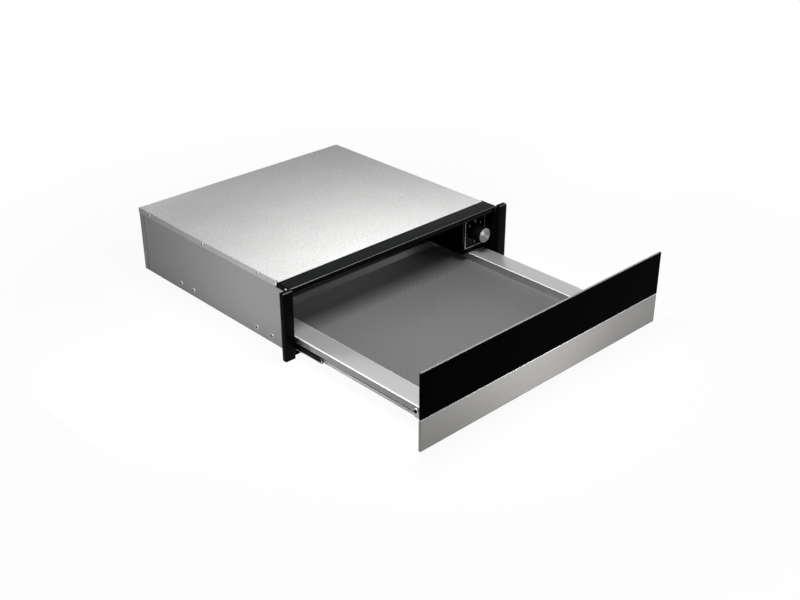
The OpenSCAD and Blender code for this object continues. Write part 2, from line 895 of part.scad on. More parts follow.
// The drawer
module tray() {
    color(stainless)
    difference() {
        union() {
            difference() {
                span(-tray_half, tray_half, tray_front, tray_rear, tray_under, tray_top);
                span(-recess_half, recess_half, recess_front, recess_rear, tray_under - over,
                     tray_top + over);
            }
            difference() {
                span(-recess_half - tray_t, recess_half + tray_t, recess_front - tray_t,
                     recess_rear + tray_t, floor_top - tray_t, tray_top);
                span(-recess_half, recess_half, recess_front, recess_rear, floor_top,
                     tray_top + over);
            }
            both_sides()
                span(bracket_out, tray_half, tray_front, tray_rear, lip_low, tray_top);
            span(-tray_half, tray_half, tray_rear - tray_t, tray_rear, lip_low, tray_top);
            span(-upturn_half, upturn_half, tray_front, tray_front + tray_t, tray_under,
                 upturn_top);
        }
        both_sides() {
            rod_x(bracket_out - over, tray_half + over, bolt_y, bolt_z, screw_r + hole_gap);
            for (share = carrier_screw_x_shares)
                rod_y(tray_front - over, tray_front + tray_t + over, upturn_half * share,
                      carrier_screw_z, small_screw_r + hole_gap);
        }
    }
}

module tray_mat() {
    color(mat_grey)
    span(-recess_half + mat_gap, recess_half - mat_gap, recess_front + mat_gap,
         recess_rear - mat_gap, floor_top, floor_top + mat_t);
}

module front_carrier() {
    color(black_paint)
    difference() {
        span(-panel_w / 2 + carrier_inset, panel_w / 2 - carrier_inset, carrier_front,
             carrier_back, panel_lift + carrier_inset, panel_top - carrier_inset);
        both_sides() {
            for (share = carrier_screw_x_shares)
                rod_y(carrier_front - over, carrier_back + over, upturn_half * share,
                      carrier_screw_z, small_screw_r + hole_gap);
            rod_y(carrier_front - over, carrier_back + over, bracket_screw_x(), bolt_z,
                  small_screw_r + hole_gap);
        }
    }
}

function bracket_screw_x() = (bracket_flange_in + bracket_out) / 2;

module glass_panel() {
    color(knob_black)
    span(-panel_w / 2, panel_w / 2, panel_front, carrier_front, glass_low, panel_top);
}

module steel_strip() {
    w = panel_w / 2 + strip_extra;
    color(stainless)
    difference() {
        span(-w, w, panel_front, carrier_front, panel_lift, strip_top);
        span(-w + strip_t, w - strip_t, panel_front + strip_t, carrier_front + over,
             panel_lift + strip_t, strip_top - strip_t);
    }
}

module panel_bracket() {
    color(stainless)
    difference() {
        union() {
            span(bracket_out - bracket_t, bracket_out, carrier_back, bracket_rear,
                 bracket_low, bracket_top);
            span(bracket_flange_in, bracket_out, carrier_back, carrier_back + bracket_t,
                 bracket_low, bracket_top);
        }
        rod_x(bracket_out - bracket_t - over, bracket_out + over, bolt_y, bolt_z,
              screw_r + fit_gap);
        rod_y(carrier_back - over, carrier_back + bracket_t + over, bracket_screw_x(), bolt_z,
              small_screw_r + hole_gap);
    }
}

module panel_bracket_left() left_of() panel_bracket();
module panel_bracket_right() panel_bracket();

module runner_support() {
    color(zinc)
    difference() {
        union() {
            span(support_out - support_t, support_out, support_front, support_rear, support_low,
                 tray_under);
            span(support_out - support_flange_w, support_out, support_front, support_rear,
                 tray_under - support_t, tray_under);
        }
        for (share = rivet_shares)
            rod_x(support_out - support_t - over, support_out + over,
                  inner_front + runner_len * share, runner_z, rivet_r + fit_gap);
    }
}

module runner_support_left() left_of() runner_support();
module runner_support_right() runner_support();

// Fasteners and bumpers
module cover_screws() {
    color(zinc)
    both_sides()
        for (share = cover_screw_shares)
            screw_x(half_w, case_d * share, cover_screw_z, 2 * sheet_t, small_screw_r,
                    cover_head_r, cover_head_t);
}

module back_screws() {
    color(zinc)
    both_sides()
        screw_x(side_out, back_out - wrap_w / 2, back_screw_z, 2 * sheet_t, small_screw_r,
                cover_head_r, cover_head_t);
}

module rail_screws() {
    color(zinc)
    both_sides()
        screw_x(rail_half, rail_screw_y, rail_screw_z, rail_half - side_in + sheet_t,
                small_screw_r, rail_head_r, rail_head_t);
}

module upright_screws() {
    color(zinc)
    both_sides()
        for (share = post_z_shares)
            translate([post_x, 0, case_h * share]) {
                rod_y(-front_reach - upright_d / 2, -front_reach + sheet_t, 0, 0, small_screw_r);
                rod_y(-front_reach + sheet_t, -front_reach + sheet_t + rail_head_t, 0, 0,
                      rail_head_r);
            }
}

module runner_screws() {
    color(zinc)
    both_sides()
        for (y = runner_screw_ys)
            screw_x(side_out, y, runner_z, sheet_t + runner_t, screw_r, runner_head_r,
                    runner_head_t);
}

module motor_screws() {
    color(zinc)
    for (side = [-1, 1]) {
        rod_y(motor_plate_y, motor_y0 + motor_ear_r, air_cx + side * motor_screw_r, fan_z,
              small_screw_r);
        rod_y(motor_plate_y - rail_head_t, motor_plate_y, air_cx + side * motor_screw_r, fan_z,
              rail_head_r);
    }
}

module tray_bolts() {
    color(zinc)
    both_sides()
        screw_x(tray_half, bolt_y, bolt_z, tray_t + bracket_t, screw_r, bolt_head_r,
                bolt_head_t);
}

module carrier_screws() {
    color(zinc)
    both_sides() {
        for (share = carrier_screw_x_shares)
            translate([upturn_half * share, 0, carrier_screw_z]) {
                rod_y(carrier_front, carrier_back + tray_t, 0, 0, small_screw_r);
                rod_y(carrier_back + tray_t, carrier_back + tray_t + rail_head_t, 0, 0,
                      rail_head_r);
            }
        translate([bracket_screw_x(), 0, bolt_z]) {
            rod_y(carrier_front, carrier_back + bracket_t, 0, 0, small_screw_r);
            rod_y(carrier_back + bracket_t, carrier_back + bracket_t + rail_head_t, 0, 0,
                  rail_head_r);
        }
    }
}

module runner_rivets() {
    color(zinc)
    both_sides()
        for (share = rivet_shares)
            translate([0, inner_front + runner_len * share, runner_z]) {
                rod_x(support_out - support_t - rivet_head_t, inner_web_out + rivet_head_t, 0, 0,
                      rivet_r);
                rod_x(inner_web_out, inner_web_out + rivet_head_t, 0, 0, rivet_head_r);
                rod_x(support_out - support_t - rivet_head_t, support_out - support_t, 0, 0,
                      rivet_head_r);
            }
}

module door_bumpers() {
    color(knob_black)
    both_sides()
        for (share = bumper_z_shares)
            rod_y(carrier_back, carrier_back + bumper_t, bumper_x, case_h * share, bumper_d / 2);
}

top_cover();
left_side_panel();
right_side_panel();
back_panel();
bottom_plate();
front_top_rail();
front_bottom_rail();
left_upright();
right_upright();
control_panel();
control_box();
regulator();
regulator_shaft();
control_knob();
knob_cap();
air_box();
motor_plate();
fan_motor();
fan_shaft();
fan_wheel();
heating_element();
thermal_cutout();
terminal_block();
cable_gland();
wiring_loom();
loom_clips();
heater_lead();
runner_outer_left();
runner_outer_right();
runner_middle_left();
runner_middle_right();
runner_inner_left();
runner_inner_right();
ball_cage_outer_left();
ball_cage_outer_right();
ball_cage_inner_left();
ball_cage_inner_right();
tray();
tray_mat();
front_carrier();
glass_panel();
steel_strip();
panel_bracket_left();
panel_bracket_right();
runner_support_left();
runner_support_right();
cover_screws();
back_screws();
rail_screws();
upright_screws();
runner_screws();
motor_screws();
tray_bolts();
carrier_screws();
runner_rivets();
door_bumpers();
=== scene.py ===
import math

import bmesh
import bpy
from mathutils import Matrix, Vector


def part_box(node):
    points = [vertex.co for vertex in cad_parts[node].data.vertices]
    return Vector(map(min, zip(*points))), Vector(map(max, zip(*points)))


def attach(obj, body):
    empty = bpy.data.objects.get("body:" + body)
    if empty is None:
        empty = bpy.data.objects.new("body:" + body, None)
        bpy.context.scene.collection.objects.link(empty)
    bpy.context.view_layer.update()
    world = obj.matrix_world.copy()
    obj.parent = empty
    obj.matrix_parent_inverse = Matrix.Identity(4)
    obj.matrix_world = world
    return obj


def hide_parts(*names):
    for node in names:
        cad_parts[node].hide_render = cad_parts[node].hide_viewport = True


bl_info = {
    "name": "Warming Drawer",
    "version": (1, 0, 0),
    "blender": (4, 5, 0),
    "location": "View3D > Sidebar > Warming Drawer",
    "description": "Dresses the packed warming drawer in folded sheet, glass and a ribbed mat",
    "category": "Object",
}

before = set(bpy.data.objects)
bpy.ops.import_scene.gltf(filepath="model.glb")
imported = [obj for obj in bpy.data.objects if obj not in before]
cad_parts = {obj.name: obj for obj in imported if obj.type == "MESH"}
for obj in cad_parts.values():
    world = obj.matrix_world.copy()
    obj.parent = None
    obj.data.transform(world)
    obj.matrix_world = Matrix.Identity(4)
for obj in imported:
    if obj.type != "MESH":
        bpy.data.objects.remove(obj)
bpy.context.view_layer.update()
MM = 0.001
MIRROR = Matrix.Diagonal((-1, 1, 1, 1))             # right to left
OUT_RIGHT = Matrix.Rotation(math.pi / 2, 4, "Y")    # up to right

TINY = 0.2 * MM         # slack of a test that compares places
ON_PLANE = 0.01 * MM    # slack of a test that asks for vertices in one plane
CAST_EDGE = 0.25 * MM   # softened edge of small fasteners and tabs
WELD = 0.001 * MM       # corners nearer than this are joined
ONE_SOLID = 9 * MM      # vertices nearer than this belong to one screw

CAP_RING = 0.42 * MM            # pitch of the turning marks on the knob's face
POINTER_SHARE = 0.68            # place of the knob's dot, as a share of its radius
POST_SHARES = 0.1588, 0.8436    # heights of an upright's posts, as shares of its own

# Name, place, target, and width and depth of each lamp, in metres
LAMPS = (
    ("top", (-0.08, -0.225, 0.68), (-0.09, -0.05, 0.05), (0.3, 0.3)),
    ("front", (0.85, -1.45, 0.18), (0, -0.39, 0.05), (0.5, 0.5)),
    ("right", (1.16, -1.6, 0.9), (0, -0.39, 0.05), (0.4, 0.4)),
    ("left", (-0.632, 0.06, 0.13), (-0.25, 0.06, 0.08), (0.2, 0.2)),
    ("side", (1.0, 0.12, 0.064), (0.25, 0.15, 0.064), (0.12, 0.12)),
    ("back", (0.6, 2.2, 0.064), (0, 0.44, 0.064), (0.12, 0.12)),
    ("inner", (-0.06, 0.075, 0.119), (-0.06, 0.08, 0.02), (0.3, 0.04)))

# The camera, fitted to the photo's edges: metres, degrees and millimetres of lens
CAMERA_TARGET = Vector((-0.071918, -0.107743, 0.072))
CAMERA_DISTANCE = 2.031317
CAMERA_AZIMUTH, CAMERA_ELEVATION = -43.499, 28.013
CAMERA_LENS, CAMERA_SENSOR = 52.068, 36


# Sizes and colours that a user would change

def length(name, description, millimetres):
    return bpy.props.FloatProperty(name=name, description=description, default=millimetres * MM,
                                   unit="LENGTH", subtype="DISTANCE", precision=5)


def colour(name, description, value):
    return bpy.props.FloatVectorProperty(name=name, description=description, default=value,
                                         size=3, min=0, max=1, subtype="COLOR")


def factor(name, description, value):
    return bpy.props.FloatProperty(name=name, description=description, default=value, min=0,
                                   subtype="FACTOR")


class DRAWER_PG_shapes(bpy.types.PropertyGroup):
    sheet: length("Sheet", "Thickness of the casing and tray sheet", 0.8)
    bend: length("Bend", "Outside radius of the casing's bends", 1.1)
    frame_bend: length("Frame bend", "Outside radius of the black frame's bends", 1.5)
    tray_bend: length("Tray bend", "Outside radius of the tray's bends", 1.6)
    tray_corner: length("Tray corner", "Plan radius of the sunk floor's corners", 12)
    edge: length("Edge", "Width of the softened edge of cut metal", 0.18)
    arris: length("Arris", "Width of the ground edge of the glass", 0.5)
    bead_height: length("Bead height", "Height of the pressed beads", 1.6)
    relief: length("Relief", "Width of the notch at the cover's front corners", 3.0)
    mark_height: length("Mark height", "Height of the dial's numbers", 4.4)
    mark_ring: length("Mark ring", "Radius of the ring of numbers", 21.5)
    mat_pitch: length("Mat pitch", "Distance between the ribs of the mat", 3.4)
    grips: bpy.props.IntProperty(name="Grips", description="Flutes round the knob", default=40,
                                 min=12, max=80)


class DRAWER_PG_colours(bpy.types.PropertyGroup):
    galvanised: colour("Galvanised", "Zinc-coated cover", (0.55, 0.55, 0.545))
    side: colour("Side", "Plain steel of the casing", (0.25, 0.25, 0.25))
    # Also the base of the rail's lighter top, which is painted light
    black: colour("Frame", "Satin black frame", (0.0018, 0.0021, 0.0021))
    gloss_black: colour("Gloss black", "Glossy control panel", (0.0006, 0.0006, 0.0006))
    # Also the base of the tray's darker copies, which are painted shade
    tray: colour("Tray", "Stainless tray", (0.41, 0.41, 0.41))
    strip: colour("Strip", "Brushed stainless strip", (0.262, 0.258, 0.25))
    # Also the base of a lighter copy, which is painted light, and of a nearly black copy, which is
    # painted shade
    zinc: colour("Zinc", "Zinc-plated runners and screws", (0.62, 0.63, 0.64))
    mat: colour("Mat", "Non-slip mat", (0.106, 0.106, 0.106))
    glass_edge: colour("Glass edge", "Ground edge of the glass", (0.16, 0.165, 0.165))
    marks: colour("Marks", "Printed frame and numbers", (0.45, 0.45, 0.45))
    # Also the base of the knob face's painted highlight
    cap: colour("Cap", "Spun face of the knob", (0.20, 0.20, 0.197))
    ceramic: colour("Insulation", "Pale insulating parts", (0.70, 0.68, 0.62))


class DRAWER_PG_stage(bpy.types.PropertyGroup):
    floor_colour: colour("Floor", "Pale floor", (0.90, 0.90, 0.90))
    shadow: factor("Shadow", "Share of the floor's shading that the camera sees", 0.06)
    shadow_near: length("Shadow near", "Distance up to which the floor's shading is full", 500)
    shadow_far: length("Shadow far", "Distance at which the floor's shading has faded", 1100)
    sky: factor("Sky", "Strength of the light from all sides", 0.06)
    top_light: factor("Top light", "Watts of the lamp above", 7.0)
    front_light: factor("Front light", "Watts of the low lamp in front", 7.3)
    right_light: factor("Right light", "Watts of the lamp at the right", 4.6)
    side_light: factor("Side light", "Watts of the lamp beside the right panel", 1.8)
    left_light: factor("Left light", "Watts of the lamp at the left", 1.0)
    back_light: factor("Back light", "Watts of the lamp behind", 14)
    inner_light: factor("Inner light", "Watts of the lamp under the cover", 0.055)


SETTINGS = (("drawer_shapes", DRAWER_PG_shapes), ("drawer_colours", DRAWER_PG_colours),
            ("drawer_stage", DRAWER_PG_stage))


def shapes():
    return bpy.context.scene.drawer_shapes


def colours():
    return bpy.context.scene.drawer_colours


# Materials

FINISHES = {}


class Value:
    """A shader value that works in Python expressions."""

    def __init__(self, nodes, socket):
        self.nodes = nodes
        self.socket = socket

    def __add__(self, other):
        return self.nodes.maths("ADD", self, other)

    def __sub__(self, other):
        return self.nodes.maths("SUBTRACT", self, other)

    def __rsub__(self, other):
        return self.nodes.maths("SUBTRACT", other, self)

    def __mul__(self, other):
        return self.nodes.maths("MULTIPLY", self, other)

    __radd__ = __add__
    __rmul__ = __mul__

    def out(self, name):
        """Another output of the node that this value comes from."""
        return Value(self.nodes, self.socket.node.outputs[name])


class Nodes:
    """A node tree that is filled by expressions."""

    def __init__(self, tree):
        self.tree = tree

    def node(self, kind, settings=None, inputs=None, out=0):
        node = self.tree.nodes.new(kind)
        for key, value in (settings or {}).items():
            setattr(node, key, value)
        for key, value in (inputs or {}).items():
            if isinstance(value, Value):
                self.tree.links.new(value.socket, node.inputs[key])
            else:
                node.inputs[key].default_value = value
        return Value(self, node.outputs[out])

    def maths(self, operation, first, second=0.0):
        return self.node("ShaderNodeMath", {"operation": operation}, {0: first, 1: second})

    def spread(self, value, low, high):
        return self.node("ShaderNodeMapRange", {"clamp": True}, {
            "Value": value, "From Min": low, "From Max": high})

    def seen(self):
        """1 for rays that show the surroundings: the camera's own, reflected or let through."""
        path = self.node("ShaderNodeLightPath", out="Is Camera Ray")
        total = path + path.out("Is Glossy Ray") + path.out("Is Transmission Ray")
        return self.spread(total, 0, 1)


class Finish(Nodes):
    """A material made of nodes, kept by its name. Constants go on the shader's own sockets."""

    def __init__(self, name, **constants):
        self.material = FINISHES[name] = bpy.data.materials.new(name)
        self.material.use_nodes = True
        super().__init__(self.material.node_tree)
        self.shader = self.tree.nodes["Principled BSDF"]
        for words, value in constants.items():
            self.shader.inputs[words.replace("_", " ")].default_value = value
        self.coordinates = self.node("ShaderNodeTexCoord", out="Object")

    def feed(self, **links):
        for words, value in links.items():
            self.tree.links.new(value.socket, self.shader.inputs[words.replace("_", " ")])

    def placed(self, scale=(1, 1, 1), centre=(0, 0, 0)):
        moved = self.node("ShaderNodeMapping", {"vector_type": "POINT"},
                          {"Vector": self.coordinates, "Location": [-c for c in centre]})
        return self.node("ShaderNodeMapping", {"vector_type": "POINT"},
                         {"Vector": moved, "Scale": scale})

    def noise(self, scale, detail=2.0, along=None, share=1.0):
        """Noise, drawn out along an axis where its scale is only a share."""
        stretch = [share if axis == along else 1.0 for axis in "XYZ"]
        return self.node("ShaderNodeTexNoise", {}, {
            "Vector": self.placed(stretch), "Scale": scale, "Detail": detail})

    def distance(self, place):
        return self.node("ShaderNodeVectorMath", {"operation": "LENGTH"}, {0: place}, out="Value")

    def mix(self, amount, first, second):
        return self.node("ShaderNodeMix", {"data_type": "RGBA"},
                         {0: amount, 6: first, 7: second}, out=2)

    def bump(self, height, strength, distance):
        return self.node("ShaderNodeBump", {}, {
            "Height": height, "Strength": strength, "Distance": distance})


def shade(base, share):
    """A colour made darker or lighter, as a colour socket takes it."""
    return (*[min(1.0, c * share) for c in base[:3]], 1.0)


def make_galvanised(base):
    """Zinc coat with a fine grain and faint larger clouds."""
    finish = Finish("galvanised", Metallic=0.05, Specular_IOR_Level=0.15)
    grain = finish.noise(480, 1.5)
    crystal = finish.node("ShaderNodeTexVoronoi", {"feature": "F1"}, {
        "Vector": finish.placed(), "Scale": 360.0}, out="Distance")
    cloud = finish.noise(14)
    speck = finish.spread(grain, 0.36, 0.64) * 0.6 + finish.spread(crystal, 0.0, 0.9) * 0.4
    tone = speck * 0.8 + cloud * 0.2
    finish.feed(Base_Color=finish.mix(tone, shade(base, 0.66), shade(base, 1.26)),
                Roughness=0.56 - speck * 0.12,
                Normal=finish.bump(speck, 0.12, 0.0002))


def make_sheet(name, base, metallic=0.08, rough=0.5, along="Z"):
    """Smooth rolled sheet with a faint grain along one axis."""
    finish = Finish(name, Metallic=metallic, Specular_IOR_Level=0.2)
    lines = finish.noise(900, 2.0, along, 0.02)
    stain = finish.noise(9, 3.0)
    tone = lines * 0.35 + stain * 0.65
    finish.feed(Base_Color=finish.mix(tone, shade(base, 0.93), shade(base, 1.07)),
                Roughness=rough + lines * 0.08 - 0.04,
                Normal=finish.bump(lines, 0.05, 0.0001))


def make_brushed(name, base, along, metallic, rough, depth, contrast, **constants):
    """Brushed stainless steel: long fine scratches along one axis."""
    finish = Finish(name, Metallic=metallic, Specular_IOR_Level=0.5, **constants)
    scratch = (finish.noise(2600, 2.0, along, 0.012) * 0.6
               + finish.noise(420, 3.0, along, 0.012) * 0.4)
    lift = finish.spread(scratch, 0.3, 0.7)
    finish.feed(Base_Color=finish.mix(lift, shade(base, 1 - contrast), shade(base, 1 + contrast)),
                Roughness=rough + lift * depth,
                Normal=finish.bump(scratch, depth, 0.0003))


def make_satin_black(name, base, rough=0.26, specular=0.02):
    """Baked black paint with a fine orange peel."""
    finish = Finish(name, Specular_IOR_Level=specular)
    peel = finish.noise(700)
    dust = finish.noise(60, 3.0)
    finish.feed(Base_Color=finish.mix(dust, shade(base, 0.8), shade(base, 1.25)),
                Roughness=rough + peel * 0.08 - 0.04,
                Normal=finish.bump(peel, 0.06, 0.0002))


def make_gloss_black(name, base, specular):
    """Polished black with the faintest waviness and dust."""
    finish = Finish(name, Specular_IOR_Level=specular)
    wave = finish.noise(8, 1.0)
    dust = finish.noise(300)
    finish.feed(Base_Color=finish.mix(dust, shade(base, 0.7), shade(base, 1.4)),
                Roughness=0.04 + dust * 0.03,
                Normal=finish.bump(wave, 0.01, 0.0005))


def make_ribbed_mat(base, pitch):
    """Woven non-slip mat: two sets of round ribs cross each other."""
    finish = Finish("mat", Specular_IOR_Level=0.35)
    turns = 2 * math.pi / pitch
    across = finish.node("ShaderNodeSeparateXYZ", {}, {"Vector": finish.placed()}, out="X")
    warp = finish.maths("SINE", across * turns)
    weft = finish.maths("SINE", across.out("Y") * turns)
    knots = warp * weft * 0.5 + 0.5
    fluff = finish.noise(1800)
    tone = knots * 0.75 + fluff * 0.25
    finish.feed(Base_Color=finish.mix(tone, shade(base, 0.45), shade(base, 1.55)),
                Roughness=0.75 - knots * 0.15,
                Normal=finish.bump(knots + fluff * 0.2, 0.5, 0.0006))


def make_spun(base, centre):
    """Lathe-turned face: fine rings about the dial's axis."""
    finish = Finish("spun_cap", Metallic=0.9, Specular_IOR_Level=0.5)
    at = finish.placed((1, 0, 1), centre)
    ring = finish.maths("SINE", finish.distance(at) * (2 * math.pi / CAP_RING)) * 0.5 + 0.5
    across = finish.node("ShaderNodeSeparateXYZ", {}, {"Vector": at}, out="X")
    angle = finish.maths("ARCTAN2", across.out("Z"), across)
    # Painted highlight: the colour is lighter in two opposite sectors round the axis
    painted_sheen = finish.maths("SINE", angle * 2 + 2.8) * 0.5 + 0.5
    haze = finish.noise(260)
    tone = finish.maths("POWER", painted_sheen, 6) * 0.8 + ring * 0.2
    finish.feed(Base_Color=finish.mix(tone, shade(base, 0.7), shade(base, 2.2)),
                Roughness=0.22 + haze * 0.08, Normal=finish.bump(ring, 0.6, 0.0001))


def make_print(base):
    """Screen print, slightly uneven."""
    finish = Finish("print", Specular_IOR_Level=0.2)
    grain = finish.noise(900)
    finish.feed(Base_Color=finish.mix(grain, shade(base, 0.9), shade(base, 1.1)),
                Roughness=0.5 + grain * 0.1)


def make_grained(name, base, rough=0.65, specular=0.3, scale=1100, detail=3.0, contrast=0.2,
                 change=0.1, strength=0.15, depth=0.0002):
    """Moulded rubber, plastic or ground glass: one fine grain in colour, gloss and relief."""
    finish = Finish(name, Specular_IOR_Level=specular)
    grain = finish.noise(scale, detail)
    finish.feed(Base_Color=finish.mix(grain, shade(base, 1 - contrast), shade(base, 1 + contrast)),
                Roughness=rough + grain * change, Normal=finish.bump(grain, strength, depth))


def make_braid(base):
    """Woven glass-fibre sleeve."""
    finish = Finish("sleeve", Specular_IOR_Level=0.2)
    weave = finish.node("ShaderNodeTexWave", {"wave_type": "BANDS", "bands_direction": "DIAGONAL"},
                        {"Vector": finish.placed(), "Scale": 260.0, "Distortion": 1.5}, out=1)
    finish.feed(Base_Color=finish.mix(weave, shade(base, 0.7), shade(base, 1.1)),
                Roughness=0.8 - weave * 0.1, Normal=finish.bump(weave, 0.4, 0.0003))


def make_finishes():
    """Makes the materials."""
    tint = colours()
    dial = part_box("knob_cap")
    make_galvanised(tint.galvanised)
    make_sheet("plain_steel", tint.side)
    make_sheet("cover_flange", shade(tint.side, 1.45), along="Y")
    make_satin_black("black_paint", tint.black)
    make_brushed("stainless", tint.tray, "Y", 0.5, 0.3, 0.008, 0.02)
    make_brushed("strip", tint.strip, "X", 0.8, 0.5, 0.08, 0.12, Anisotropic=0.9,
                 Anisotropic_Rotation=0.25)
    make_sheet("zinc", tint.zinc, 0.5, 0.3, "Y")
    # A nearly black copy of the zinc: painted shade on the tray's rear rim and at the foot of its
    # sunk walls
    make_sheet("dark_zinc", shade(tint.zinc, 0.04), 0.2, 0.4, "Y")
    # A lighter, glossier copy of the zinc: painted light on screw heads and shanks, the cover's
    # tabs, the drawer's runners and supports
    make_sheet("bright_zinc", shade(tint.zinc, 1.35), 0.7, 0.25)
    make_sheet("mirror_steel", (0.72, 0.72, 0.72), 1.0, 0.18)
    # Darker copies of the tray steel: painted shade on the tray's outer lip sides and on the sunk
    # floor's rear wall
    make_sheet("shaded_steel", shade(tint.tray, 0.6), 0.55, 0.3, "Y")
    make_sheet("dim_steel", shade(tint.tray, 0.5), 0.4, 0.4, "Y")
    # Near-white steel on the bends of the tray and the strip: a painted highlight
    make_sheet("bright_edge", (0.92, 0.92, 0.91), 0.2, 0.25, "X")
    # The black paint three times lighter, for the rail's upward faces: painted light
    make_satin_black("rail_top", shade(tint.black, 3), 0.4, 0.02)
    # Grey on the top front bends of the black frame: a painted highlight
    make_satin_black("worn_edge", (0.05, 0.05, 0.05), 0.3, 0.4)
    make_sheet("heater", (0.10, 0.085, 0.075), 0.6, 0.5)
    make_gloss_black("black_gloss", tint.gloss_black, 0.05)
    make_gloss_black("black_glass", tint.gloss_black, 0.004)
    make_grained("glass_edge", tint.glass_edge, 0.35, 0.4, 1500, 2.0, 0.15, 0.15, 0.1, 0.0001)
    # Matt black: the knob, its dot and the cable gland, and also painted shade in the screw
    # sockets, behind the cover's notches and on the middle runners
    make_grained("black_matt", (0.003, 0.003, 0.003), 0.45, 0.08)
    make_ribbed_mat(tint.mat, shapes().mat_pitch)
    make_grained("bumper", (0.02, 0.02, 0.02))
    make_spun(tint.cap, (dial[0] + dial[1]) / 2)
    make_print(tint.marks)
    make_grained("ceramic", tint.ceramic, 0.5)
    make_braid(tint.ceramic)


def paint(piece, *names):
    piece.data.materials.clear()
    for name in names:
        piece.data.materials.append(FINISHES[name])


# Modelling steps

def deselect():
    if bpy.context.object and bpy.context.object.mode != "OBJECT":
        bpy.ops.object.mode_set(mode="OBJECT")
    bpy.ops.object.select_all(action="DESELECT")


def activate(piece):
    deselect()
    piece.select_set(True)
    bpy.context.view_layer.objects.active = piece


def settle(name):
    """Puts the active object's place into its mesh, and names both."""
    bpy.ops.object.transform_apply(location=True, rotation=True, scale=True)
    piece = bpy.context.object
    piece.name = piece.data.name = name
    return piece


def slab(name, low, high):
    deselect()
    bpy.ops.mesh.primitive_cube_add(size=1, location=[(a + b) / 2 for a, b in zip(low, high)])
    bpy.context.object.scale = [b - a for a, b in zip(low, high)]
    return settle(name)


def plate(name, low, high):
    """A flat rectangle between two corners that share X, Y or Z, facing up that axis."""
    flat = [i for i in range(3) if abs(high[i] - low[i]) < 1e-9][0]
    turn = ((0, math.pi / 2, 0), (-math.pi / 2, 0, 0), (0, 0, 0))[flat]
    span = [high[i] - low[i] for i in range(3)]
    deselect()
    bpy.ops.mesh.primitive_plane_add(size=1, rotation=turn,
                                     location=[(a + b) / 2 for a, b in zip(low, high)])
    bpy.context.object.scale = ((span[2], span[1], 1), (span[0], span[2], 1),
                                (span[0], span[1], 1))[flat]
    return settle(name)


def rod(name, start, end, radius, sides, axis="Y"):
    """A round bar along X or Y."""
    turn = {"X": (0, math.pi / 2, 0), "Y": (math.pi / 2, 0, 0)}[axis]
    deselect()
    bpy.ops.mesh.primitive_cylinder_add(vertices=sides, radius=radius,
                                        depth=(Vector(end) - Vector(start)).length,
                                        location=(Vector(start) + Vector(end)) / 2, rotation=turn)
    return settle(name)


def edit(piece, mode="EDGE"):
    activate(piece)
    bpy.ops.object.mode_set(mode="EDIT")
    bpy.ops.mesh.select_mode(type=mode)
    bpy.ops.mesh.select_all(action="DESELECT")


def done():
    bpy.ops.object.mode_set(mode="OBJECT")


def merge(piece, clean):
    """Joins a piece's loose corners, then cleans the mesh in edit mode."""
    edit(piece, "VERT")
    bpy.ops.mesh.select_all(action="SELECT")
    bpy.ops.mesh.remove_doubles(threshold=WELD)
    clean()
    done()


def pick(piece, test, kind="edges"):
    """In edit mode, selects the edges, faces or vertices that pass a test."""
    bpy.ops.mesh.select_all(action="DESELECT")
    found = [part for part in getattr(bmesh.from_edit_mesh(piece.data), kind) if test(part)]
    for part in found:
        part.select_set(True)
    bmesh.update_edit_mesh(piece.data)
    if not found:
        raise RuntimeError(f"nothing to pick on {piece.name}")


def middle(part):
    points = [v.co for v in part.verts]
    return sum(points, Vector()) / len(points)


def on(axis, *values):
    """A test: all vertices lie at one of those values of the axis."""
    return lambda part: any(all(abs(v.co[axis] - value) < ON_PLANE for v in part.verts)
                            for value in values)


def push(offset):
    bpy.ops.mesh.extrude_region_move(TRANSFORM_OT_translate={"value": offset})


def cut(axis, *values):
    """In edit mode, cuts the whole mesh across one axis at each value."""
    normal = [float(i == axis) for i in range(3)]
    for value in values:
        bpy.ops.mesh.select_all(action="SELECT")
        bpy.ops.mesh.bisect(plane_co=[n * value for n in normal], plane_no=normal)


def is_bend(edge, limit=30):
    return len(edge.link_faces) == 2 and edge.calc_face_angle(0) > math.radians(limit)


def bevel(piece, width, steps, test, clamp=False):
    """In edit mode, rounds the edges that pass a test."""
    pick(piece, test)
    bpy.ops.mesh.bevel(offset=width, segments=steps, affect="EDGES", clamp_overlap=clamp)


def round_bends(piece, radius, steps=3, test=is_bend):
    """In edit mode, rounds a sheet's bends, by no more than its faces allow."""
    bevel(piece, radius, steps, test, True)


def apply_modifier(piece, kind, **settings):
    activate(piece)
    modifier = piece.modifiers.new(kind.lower(), kind)
    for key, value in settings.items():
        setattr(modifier, key, value)
    bpy.ops.object.modifier_apply(modifier=modifier.name)


def carve(piece, cutter):
    """Cuts one piece out of another and removes the cutter."""
    apply_modifier(piece, "BOOLEAN", object=cutter, operation="DIFFERENCE", solver="EXACT")
    bpy.data.objects.remove(cutter)


def smooth(piece, angle):
    activate(piece)
    bpy.ops.object.shade_smooth_by_angle(angle=math.radians(angle))


def thicken(piece, thickness):
    """Gives a folded surface its sheet thickness, on the side its faces turn away from."""
    apply_modifier(piece, "SOLIDIFY", thickness=thickness, offset=-1, use_even_offset=True)


def soften(piece, width, steps=2, limit=40):
    apply_modifier(piece, "BEVEL", width=width, segments=steps, limit_method="ANGLE",
                   angle_limit=math.radians(limit))


def finish_piece(piece, body, looks, node=None, angle=35):
    """Shades and paints a piece, and gives it its node, slot and body."""
    smooth(piece, angle)
    if looks:
        paint(piece, *looks)
    if node:
        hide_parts(node)
    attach(piece, body)


def paint_faces(piece, choose):
    """Gives each face the index of its material."""
    for face in piece.data.polygons:
        face.material_index = int(choose(face))


